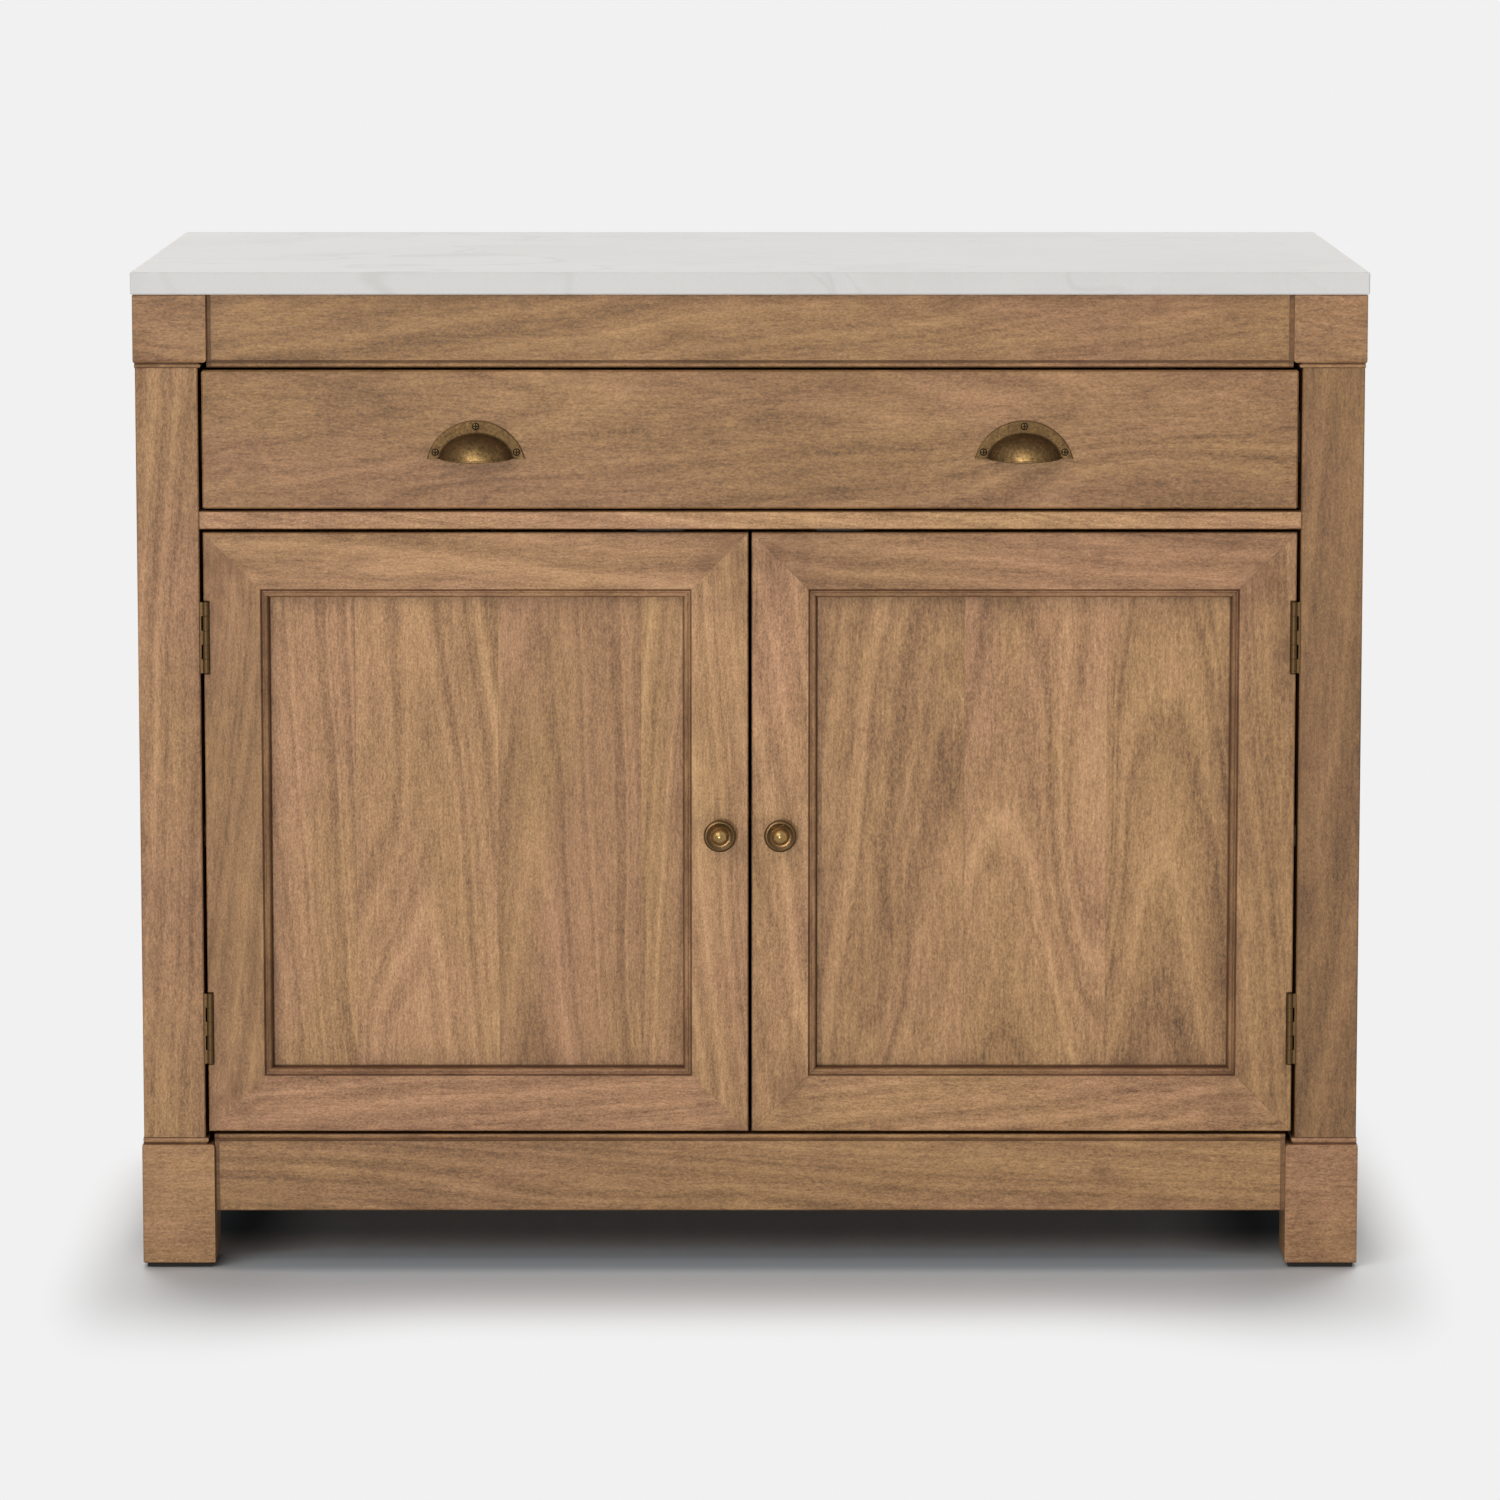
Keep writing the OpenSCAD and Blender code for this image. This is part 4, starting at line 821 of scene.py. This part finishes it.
def make_piece(name, grids, wear_and_painted_light_values, material, body, replaced):
    """One closed mesh from grids of points, each (rows, columns, 3), joined where they meet.

    The third argument holds a value for each grid or for each of its points, kept as an attribute
    of wear, painted highlight and painted shade. The piece rides on a body and takes the place of
    the replaced CAD nodes."""
    points, quads, values, start = [], [], [], 0
    for grid, wear_and_painted_light in zip(grids, wear_and_painted_light_values):
        rows, columns = grid.shape[:2]
        quads.append(grid_faces(start + np.arange(rows * columns).reshape(rows, columns)))
        points.append(grid.reshape(-1, 3))
        values.append(np.broadcast_to(wear_and_painted_light, (rows, columns)).reshape(-1))
        start += rows * columns
    mesh = bpy.data.meshes.new(name)
    mesh.from_pydata(np.concatenate(points), [], np.concatenate(quads))
    mesh.attributes.new("wear_and_painted_light", "FLOAT", "POINT").data.foreach_set(
        "value", np.concatenate(values).astype(np.float32))
    mesh.polygons.foreach_set("use_smooth", [True] * len(mesh.polygons))
    shaped = bmesh.new()
    shaped.from_mesh(mesh)
    bmesh.ops.remove_doubles(shaped, verts=shaped.verts, dist=2e-6)
    bmesh.ops.dissolve_degenerate(shaped, edges=shaped.edges, dist=1e-7)
    bmesh.ops.recalc_face_normals(shaped, faces=shaped.faces)
    shaped.to_mesh(mesh)
    shaped.free()
    mesh.set_sharp_from_angle(angle=math.radians(CREASE))
    mesh.materials.append(material)
    piece = bpy.data.objects.new(name, mesh)
    bpy.context.scene.collection.objects.link(piece)
    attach(piece, body)
    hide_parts(*replaced)


def strip(first, second):
    """Two rows of points as a grid, to close the way between two edges."""
    return np.stack([first, second])


# ---------------------------------------------------------------- cup pulls

CUP_SUNK = 0.3 * MM  # how far the cup's edge lies in its flange
LIP_ROOM = 0.4 * MM  # how far the cup stays behind the front of the CAD pull, for its lip
# Where the brass is made bright in the middle of the cup and its lip, partly rubbed by hands and
# partly a painted highlight: half width and half height on the cup, half width on the lip
CUP_RUB_AND_HIGHLIGHT, LIP_RUB_AND_HIGHLIGHT = (0.013, 0.008), 0.02
SCREW_DOME, SCREW_SLOT = 1.5 * MM, 0.55 * MM  # height of a screw's head, half width of its cross
HEAD_SUNK = 0.1 * MM  # how far a screw's head lies in the flange


def eased(count):
    """Numbers from 0 to 1 that lie closer together at both ends."""
    return 0.5 - 0.5 * np.cos(np.linspace(0, np.pi, count))


def cup_shell(radius, height, back, fillet, rows=40, columns=72):
    """Half egg in front of the plane y = -back of its own axis, as (x, y, z) from that axis.

    A point at plan angle a and rise b is at (r cos a cos b, -r sin a cos b, h sin b). Rows climb
    until the egg meets the plane, and each row starts and ends in the plane. Within the fillet
    of the plane the surface flares out on a quarter circle."""
    rise = np.arccos(back / radius) * eased(rows)[:, None]
    level = radius * np.cos(rise)
    start = np.arcsin(np.clip(back / level, -1, 1))
    turn = start + (np.pi - 2 * start) * eased(columns)[None, :]
    x = level * np.cos(turn)
    y = -level * np.sin(turn)
    z = np.broadcast_to(height * np.sin(rise), x.shape)
    if fillet > 0:
        away = np.clip(1 - (-y - back) / fillet, 0, 1)
        flare = fillet * (1 - np.sqrt(1 - away ** 2))
        out = np.stack([x / radius ** 2, z / height ** 2])
        out = out / np.maximum(np.linalg.norm(out, axis=0), 1e-9)
        x, z = (x + flare * out[0], z + flare * out[1])
    return np.stack([x, y, z], axis=-1)


def hanging(shell, pull, back):
    """The cup's lower edge drawn down where it stands out from the plate: by sag times
    ((out - back) / (r - back)), less and less up to half the cup's height."""
    out = np.clip((-shell[..., 1] - back) / (pull.cup_r - back), 0, 1)
    low = np.clip(1 - 2 * shell[..., 2] / pull.cup_h, 0, 1) ** 2
    return shell - np.stack([0 * out, 0 * out, pull.sag * out * low], axis=-1)


def flange_plate(pull, back, rows=97):
    """Half disc with a rounded rim: a closed section carried round the angle a of the disc.

    It runs from the straight open edge, or from the egg's outline where that lies further
    out, to the disc's radius. Points are (x, y, z) from the centre of the disc, face at y = 0."""
    radius, cut, thick = pull.flange_r, pull.flange_cut, pull.flange_t
    tip = np.arcsin(cut / radius)
    angle = (tip + (np.pi - 2 * tip) * np.linspace(0, 1, rows))[:, None]
    wide = math.sqrt((pull.cup_r - pull.cup_t) ** 2 - back ** 2)
    tall = (pull.cup_h - pull.cup_t) * math.sqrt(1 - (back / (pull.cup_r - pull.cup_t)) ** 2)
    c, s = np.cos(angle), np.sin(angle)
    # The egg's outline in the plate's plane, at each angle: the larger root of a quadratic.
    a, b, d = (c / wide) ** 2 + (s / tall) ** 2, -2 * s * cut / tall ** 2, (cut / tall) ** 2 - 1
    egg = (-b + np.sqrt(np.maximum(b ** 2 - 4 * a * d, 0))) / (2 * a)
    inner = np.maximum(cut / s, egg)
    rim = 0.6 * thick
    bow = np.linspace(0, np.pi / 2, 7)
    reach = np.concatenate([np.zeros(1), np.linspace(0, 1, 8), np.ones(8), np.zeros(1)])
    inset = np.concatenate([np.zeros(1), np.linspace(0, 1, 8) * rim, rim * (1 - np.sin(bow)),
                            np.zeros(2)])
    deep = np.concatenate([np.zeros(1), np.full(8, thick), thick - rim * (1 - np.cos(bow)),
                           np.zeros(2)])
    r = np.maximum(inner + (radius - inner) * reach - inset, inner)
    return np.stack([r * c, np.broadcast_to(-deep, r.shape), r * s], axis=-1)


def tube(path, radius, sides=12):
    """Round rod along a path of points in a plane of constant z, with closed ends."""
    way = np.gradient(path, axis=0)
    way /= np.linalg.norm(way, axis=1)[:, None]
    up = np.array([0.0, 0.0, 1.0])
    side = np.cross(way, up)
    turn = np.linspace(0, 2 * np.pi, sides + 1)[None, :, None]
    rings = path[:, None] + radius * (np.cos(turn) * side[:, None] + np.sin(turn) * up)
    ends = [np.repeat(path[i][None, None], sides + 1, axis=1) for i in (0, -1)]
    return np.concatenate([ends[0], rings, ends[1]])


def cup_pull(pull, node, material):
    """The casting of one cup pull: flange, cup with its inner wall, and rolled lip."""
    low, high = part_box(node)
    centre = np.array([(low[0] + high[0]) / 2, high[1], low[2] - pull.flange_cut])
    seat = pull.flange_t - CUP_SUNK
    reach = high[1] - low[1] - LIP_ROOM
    back = pull.cup_r - reach + seat
    axis = centre + [0, pull.cup_r - reach, pull.flange_cut]
    outer = cup_shell(pull.cup_r, pull.cup_h, back, pull.fillet)
    inner = cup_shell(pull.cup_r - pull.cup_t, pull.cup_h - pull.cup_t, back, 0)
    outer, inner = (axis + hanging(shell, pull, back) for shell in (outer, inner))
    plate = centre + flange_plate(pull, back)
    lip = outer[0] + [0, 0, pull.lip_r]
    rod = tube(lip, pull.lip_r)
    # Painted highlight with rubbed brass: the cup and its lip are made bright low in the middle,
    # where the light shines back.
    side = (outer[..., 0] - centre[0]) / CUP_RUB_AND_HIGHLIGHT[0]
    climb = (outer[..., 2] - axis[2]) / CUP_RUB_AND_HIGHLIGHT[1]
    cup_rub_and_highlight = 0.02 + 0.4 * np.exp(-side ** 2 - climb ** 2)
    lip_rub_and_highlight = 0.3 * np.exp(-((rod[..., 0] - centre[0]) / LIP_RUB_AND_HIGHLIGHT) ** 2)
    grids = [outer, inner, strip(outer[0], inner[0]), strip(outer[:, 0], inner[:, 0]),
             strip(outer[:, -1], inner[:, -1]), plate, rod]
    wear_and_painted_light_values = [cup_rub_and_highlight, -0.1, 0.1, 0.0, 0.0, 0.05, lip_rub_and_highlight]
    make_piece(f"{node}_casting", grids, wear_and_painted_light_values, material, "drawer", [node])


class ISLAND_OT_cup_pulls(bpy.types.Operator):
    """Makes the two cast cup pulls on the drawer front"""
    bl_idname = "island.cup_pulls"
    bl_label = "Cup pulls"

    def execute(self, context):
        scene = context.scene
        brass = brass_material(scene.island_metal, "brass_pulls", rubbed=0.16, rough=0.38)
        for node in ("cup_pull_left", "cup_pull_right"):
            cup_pull(scene.island_pull, node, brass)
        return {"FINISHED"}


def screw_head(place, radius, dome, slot, rings=26, spokes=64):
    """Round screw head facing -Y with a cross recess, on a grid of radius and angle.

    Its height is a dome less the recess, whose depth fades in from the edges of the cross."""
    r = radius * np.linspace(0, 1, rings)[:, None]
    a = np.linspace(0, 2 * np.pi, spokes + 1)[None, :]
    x, z = r * np.cos(a), r * np.sin(a)
    fall, cross, deep = 0.96, 0.6, 0.55  # shares: the dome's fall, the cross's reach and depth
    rise = dome * np.sqrt(np.clip(1 - (r / radius) ** 2 * fall, 0, 1)) + 0 * a
    arm = np.minimum(np.abs(x), np.abs(z)) / slot
    reach = np.maximum(np.abs(x), np.abs(z)) / (cross * radius)
    recess = np.clip(1.5 - arm, 0, 1) * np.clip(4 * (1 - reach), 0, 1)
    y = -(rise - deep * dome * recess)
    face = np.stack([x, y, z], axis=-1)
    foot = face[-1:] * [1, 0, 1]
    # Wear is low in the cross recess and in a ring at the rim; the ring is painted shade, the
    # shadow of the countersink round the head.
    wear_and_painted_light = 0.25 - 1.8 * recess - 1.8 * np.clip(r / radius * 5 - 2.9, 0, 1)
    return np.array(place) + np.concatenate([face, foot]), np.concatenate([wear_and_painted_light, wear_and_painted_light[-1:]])


class ISLAND_OT_pull_screws(bpy.types.Operator):
    """Makes the heads of the screws that hold the cup pulls, with cross recesses"""
    bl_idname = "island.pull_screws"
    bl_label = "Pull screws"

    def execute(self, context):
        scene = context.scene
        pull = scene.island_pull
        brass = brass_material(scene.island_metal, "brass_screws", rubbed=0.3, cast=0.2)
        heads = []
        for node in ("cup_pull_left", "cup_pull_right"):
            low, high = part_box(node)
            # All three sit on an arc half way across the flange's band above the cup.
            band = pull.flange_r - pull.flange_cut - pull.cup_h
            middle = pull.flange_r - band / 2
            tilt = math.asin((pull.flange_cut + 0.6 * band) / middle)
            for angle in (tilt, math.pi / 2, math.pi - tilt):
                x = (low[0] + high[0]) / 2 + middle * math.cos(angle)
                z = low[2] - pull.flange_cut + middle * math.sin(angle)
                place = (x, high[1] - pull.flange_t + HEAD_SUNK, z)
                heads.append(screw_head(place, pull.screw_r, SCREW_DOME, SCREW_SLOT))
        grids, wear_and_painted_light_values = zip(*heads)
        make_piece("pull_screw_heads", grids, wear_and_painted_light_values, brass, "drawer",
                   ["pull_screws"])
        return {"FINISHED"}


# ---------------------------------------------------------------- knobs and hinges


def knob_outline(radius, reach):
    """Turned outline of a knob as (radius, distance from the door), from the foot to the tip:
    a foot, a hollow neck, a head with a rolled rim, a dish and the ball that lies in it. Then
    how many of its points are the ball's. Sizes are shares of the knob's radius."""
    ball = 0.55 * radius
    rim = 0.15 * radius
    head = reach - ball - 1.8 * rim
    t = np.linspace(0, 1, 15)
    foot_bow = np.linspace(0, np.pi / 2, 6)
    foot = np.stack([0.46 * radius + 0.04 * radius * np.cos(foot_bow),
                     0.08 * radius + 0.04 * radius * np.sin(foot_bow)], -1)
    neck = np.stack([radius * (0.30 + 0.14 * (2 * t - 1) ** 2),
                     0.13 * radius + (head - 0.34 * radius) * t], -1)
    under = np.stack([radius * 0.44 + (0.925 - 0.44) * radius * np.sin(t * np.pi / 2),
                      head - 0.21 * radius + 0.08 * radius * (1 - np.cos(t * np.pi / 2))], -1)
    bow = np.radians(np.linspace(-60, 95, 16))
    rolled = np.stack([radius - rim + rim * np.cos(bow), head + rim * np.sin(bow)], -1)
    dish = np.stack([radius * 0.84 - (0.84 * radius - ball) * t,
                     head + rim * (0.9 - 0.42 * np.sin(t * np.pi / 2))], -1)
    arc = np.radians(np.linspace(-28, 90, 28))
    tip = np.stack([ball * np.cos(arc), reach - ball + ball * np.sin(arc)], -1)
    start = np.array([[0.0, 0.0], [0.5 * radius, 0.0]])
    return np.concatenate([start, foot, neck, under, rolled, dish, tip]), len(tip)


def turned(outline, place, spokes=64):
    """The outline turned round an axis along -Y through the place."""
    angle = np.linspace(0, 2 * np.pi, spokes + 1)[None, :]
    r, out = outline[:, :1], outline[:, 1:]
    return np.array(place) + np.stack([r * np.cos(angle), -out + 0 * angle, r * np.sin(angle)], -1)


class ISLAND_OT_knobs(bpy.types.Operator):
    """Makes the turned door knobs with a ball in a dish"""
    bl_idname = "island.knobs"
    bl_label = "Door knobs"

    def execute(self, context):
        brass = brass_material(context.scene.island_metal, "brass_knobs", rubbed=0.0, rough=0.14,
                               cast=0.2)
        for body in ("door_left", "door_right"):
            node = f"{body}_knob"
            low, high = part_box(node)
            place = ((low[0] + high[0]) / 2, high[1], (low[2] + high[2]) / 2)
            outline, ball = knob_outline((high[0] - low[0]) / 2, high[1] - low[1])
            grid = turned(outline, place)
            worn = np.full(len(outline), 0.1)
            worn[-ball:] = 0.56
            worn = np.broadcast_to(worn[:, None], grid.shape[:2])
            make_piece(f"{node}_turned", [grid], [worn], brass, body, [node])
        return {"FINISHED"}


class ISLAND_OT_hinges(bpy.types.Operator):
    """Finishes the hinges, their pins and the screws in aged brass"""
    bl_idname = "island.hinges"
    bl_label = "Hinges"

    def execute(self, context):
        brass = brass_material(context.scene.island_metal, "brass_hinges", rubbed=0.02)
        give(brass, "hinge_post_leaves", "hinge_pins", "hinge_post_screws",
             "door_left_hinge_leaves", "door_right_hinge_leaves", "door_left_screws",
             "door_right_screws")
        return {"FINISHED"}


# ---------------------------------------------------------------- stage

# Lamps: name, azimuth and elevation in degrees, strength, spread in degrees
SUNS = (("window", 30, 38, 1.0, 46), ("fill", 8, 2.4, 1.05, 4.6), ("overhead", 184, 68, 1.42, 26),
        ("behind_left", 150, 30, 0.58, 50), ("behind_right", 216, 30, 0.60, 50))
SKY = 0.18  # strength of the light from all sides
FLOOR_REACH, FLOOR_BELOW, FLOOR_POINTS = 30.0, 0.3 * MM, 13  # half size, drop, points a side
# Shares of the floor's colour: painted shade far under the unit, then a painted cool tint close
# round it and a fainter one further away, which offsets the warm light that the wood throws on the
# floor
FLOOR_UNDER_SHADE, FLOOR_NEAR, FLOOR_FAR = (0.45, 0.56, 0.68), (0.93, 1.0, 1.065), (0.98, 1.0, 1.015)
# Colour of the painted shade close under the bottom rails and round the feet
SHADE_BLACK = (0.0, 0.0, 0.0)
# Places on the floor, in metres outside the unit's box and below zero under it: where a change
# starts and ends, then how soft its ends are or the two values it runs between
FADE = (0.02, 0.29)  # from the floor that takes shadow to the plain background
FADE_BESIDE = 3.2  # how much faster it fades beside the unit
FADE_FEET = (-0.3, -0.08, 1.0, 0.75)  # and how much slower before the feet
FAR_SIDE, FAR_FRONT = (-0.2, 0.0), (0.02, 0.2)  # from the near colour to the far one
# Where the floor's colour is painted darker as shade: deep under the unit, below its bottom rails
# and round its feet
DEEP_FRONT, DEEP_SIDE, DEEP_FEET = (-0.2, -0.12), (-0.02, 0.0), (-0.25, -0.1, 0.62, 0.8)
RAIL_FRONT, RAIL_SIDE = (-0.085, -0.012, 0.02), (-0.02, 0.01, 0.36, 0.0)
FEET_SIDE, FEET_FRONT = (-0.125, -0.01, 0.05), (-0.2, 0.0, 0.84, 0.1)


def sun(name, azimuth, elevation, strength, spread):
    """A sun that shines from an azimuth, 0 in front and 90 to the left, and an elevation."""
    a, e = math.radians(azimuth), math.radians(elevation)
    toward = Vector((-math.sin(a) * math.cos(e), -math.cos(a) * math.cos(e), math.sin(e)))
    lamp = bpy.data.lights.new(name, "SUN")
    lamp.energy = strength
    lamp.angle = math.radians(spread)
    made = bpy.data.objects.new(name, lamp)
    made.rotation_mode = "QUATERNION"
    made.rotation_quaternion = toward.to_track_quat("Z", "Y")
    bpy.context.scene.collection.objects.link(made)


def seen_directly(recipe):
    """One for rays from the camera, and for what shows in gloss or through glass."""
    path = recipe.node("ShaderNodeLightPath").outputs
    seen = recipe.math("MAXIMUM", path["Is Camera Ray"], path["Is Glossy Ray"])
    return recipe.math("MAXIMUM", seen, path["Is Transmission Ray"])


def backdrop(stage):
    """World: soft light from all sides, and the plain background where it is seen."""
    world = bpy.data.worlds.new("studio")
    r = empty_recipe(world)
    light = r.node("ShaderNodeBackground", [("Color", (1, 1, 1, 1)), ("Strength", SKY)])
    plain = r.node("ShaderNodeBackground", [("Color", (*stage.floor, 1)), ("Strength", 1.0)])
    mixed = r.node("ShaderNodeMixShader", [(0, seen_directly(r)), (1, light.outputs[0]),
                                           (2, plain.outputs[0])])
    r.node("ShaderNodeOutputWorld", [("Surface", mixed.outputs[0])])
    bpy.context.scene.world = world


def studio_floor(stage):
    """Pale floor that takes the unit's shadow near it and fades into the background. Near the unit
    its colour is painted: a cooler tint against the wood's warm bounce light, and painted shade
    deep under the unit, below its bottom rails and round its feet.
    """
    corners = np.linspace(-FLOOR_REACH, FLOOR_REACH, FLOOR_POINTS)
    x, y = np.meshgrid(corners, corners, indexing="ij")
    points = np.stack([x, y, np.full_like(x, -FLOOR_BELOW)], axis=-1)
    mesh = bpy.data.meshes.new("floor")
    mesh.from_pydata(points.reshape(-1, 3), [], grid_faces(np.arange(x.size).reshape(x.shape)))
    floor = bpy.data.objects.new("floor", mesh)
    bpy.context.scene.collection.objects.link(floor)

    material = bpy.data.materials.new("studio_floor")
    r = empty_recipe(material)
    place = r.place()
    low, high = CAD_BOX
    middle = tuple((Vector(low) + Vector(high)) / 2)
    half = tuple((Vector(high) - Vector(low)) / 2)
    off = r.vector("SUBTRACT", r.vector("ABSOLUTE", r.vector("SUBTRACT", place, middle)), half)
    away = r.parts(r.vector("MAXIMUM", off, (0.0, 0.0, 0.0)))
    beside, before, _ = r.parts(off)
    ahead = r.math("MULTIPLY", away[1], r.smooth(beside, *FADE_FEET))
    distance = r.vector("LENGTH", r.join(r.math("MULTIPLY", away[0], FADE_BESIDE), ahead, 0.0))
    fade = r.math("MULTIPLY", r.smooth(distance, *FADE), seen_directly(r))
    # Painted light: the wood throws warm light on the floor beside it, and a floor painted cooler
    # there keeps it grey.
    under, near, far = (tuple(np.array(stage.floor) * share)
                        for share in (FLOOR_UNDER_SHADE, FLOOR_NEAR, FLOOR_FAR))
    floor_tint_and_shade = r.math("MAXIMUM", r.smooth(beside, *FAR_SIDE), r.smooth(before, *FAR_FRONT))
    floor_tint_and_shade = r.mix(floor_tint_and_shade, near, far)
    # Painted shade: the floor's colour is darkened deep under the unit, below its bottom rails and
    # round its feet, where little light comes in.
    deep = r.math("MULTIPLY", r.smooth(before, *DEEP_FRONT, 1.0, 0.0),
                  r.smooth(beside, *DEEP_SIDE, 1.0, 0.0))
    rail = r.math("MULTIPLY", r.band(before, *RAIL_FRONT), r.smooth(beside, *RAIL_SIDE))
    feet = r.math("MULTIPLY", r.band(beside, *FEET_SIDE), r.smooth(before, *FEET_FRONT))
    floor_tint_and_shade = r.mix(r.math("MULTIPLY", deep, r.smooth(beside, *DEEP_FEET)), floor_tint_and_shade, under)
    floor_tint_and_shade = r.mix(r.math("MAXIMUM", rail, feet), floor_tint_and_shade, SHADE_BLACK)
    matt = r.node("ShaderNodeBsdfDiffuse", [("Color", floor_tint_and_shade)])
    plain = r.node("ShaderNodeEmission", [("Color", (*stage.floor, 1)), ("Strength", 1.0)])
    mixed = r.node("ShaderNodeMixShader", [(0, fade), (1, matt.outputs[0]),
                                           (2, plain.outputs[0])])
    r.node("ShaderNodeOutputMaterial", [("Surface", mixed.outputs[0])])
    mesh.materials.append(material)


def camera(stage):
    """The camera in front of the unit, higher than the worktop and looking down a little."""
    lens = bpy.data.cameras.new("camera")
    lens.lens = stage.lens
    lens.sensor_width = 36.0
    made = bpy.data.objects.new("camera", lens)
    bpy.context.scene.collection.objects.link(made)
    made.location = (0.0, -stage.distance, stage.height)
    made.rotation_mode = "QUATERNION"
    look = Vector((0.0, 0.0, stage.aim)) - made.location
    made.rotation_quaternion = look.to_track_quat("-Z", "Y")
    bpy.context.scene.camera = made


class ISLAND_OT_stage(bpy.types.Operator):
    """Sets up the pale floor, the studio light and the camera"""
    bl_idname = "island.stage"
    bl_label = "Stage"

    def execute(self, context):
        stage = context.scene.island_stage
        context.scene.view_settings.view_transform = "Standard"
        backdrop(stage)
        studio_floor(stage)
        for lamp in SUNS:
            sun(*lamp)
        camera(stage)
        return {"FINISHED"}


# ---------------------------------------------------------------- sidebar and registration

OPERATORS = [ISLAND_OT_stage, ISLAND_OT_wood, ISLAND_OT_inner_wood, ISLAND_OT_stone,
             ISLAND_OT_steel, ISLAND_OT_cup_pulls, ISLAND_OT_pull_screws, ISLAND_OT_knobs,
             ISLAND_OT_hinges]
GROUPS = {"island_wood": ISLAND_PG_wood, "island_stone": ISLAND_PG_stone,
          "island_metal": ISLAND_PG_metal, "island_pull": ISLAND_PG_pull,
          "island_stage": ISLAND_PG_stage}


class ISLAND_PT_unit(bpy.types.Panel):
    """Lists the sizes, the colours and the steps that dress the unit"""
    bl_label = "Kitchen island unit"
    bl_idname = "ISLAND_PT_unit"
    bl_space_type = "VIEW_3D"
    bl_region_type = "UI"
    bl_category = "Island"

    def draw(self, context):
        for name, group in GROUPS.items():
            box = self.layout.box()
            for key in group.__annotations__:
                box.prop(getattr(context.scene, name), key)
        for operator in OPERATORS:
            self.layout.operator(operator.bl_idname)


def register():
    for group in GROUPS.values():
        bpy.utils.register_class(group)
    for name, group in GROUPS.items():
        setattr(bpy.types.Scene, name, PointerProperty(type=group))
    for operator in OPERATORS:
        bpy.utils.register_class(operator)
    bpy.utils.register_class(ISLAND_PT_unit)


def unregister():
    bpy.utils.unregister_class(ISLAND_PT_unit)
    for operator in reversed(OPERATORS):
        bpy.utils.unregister_class(operator)
    for name in GROUPS:
        delattr(bpy.types.Scene, name)
    for group in reversed(list(GROUPS.values())):
        bpy.utils.unregister_class(group)


def main():
    register()
    for operator in OPERATORS:
        group, step = operator.bl_idname.split(".")
        getattr(getattr(bpy.ops, group), step)()


if __name__ == "__main__":
    main()
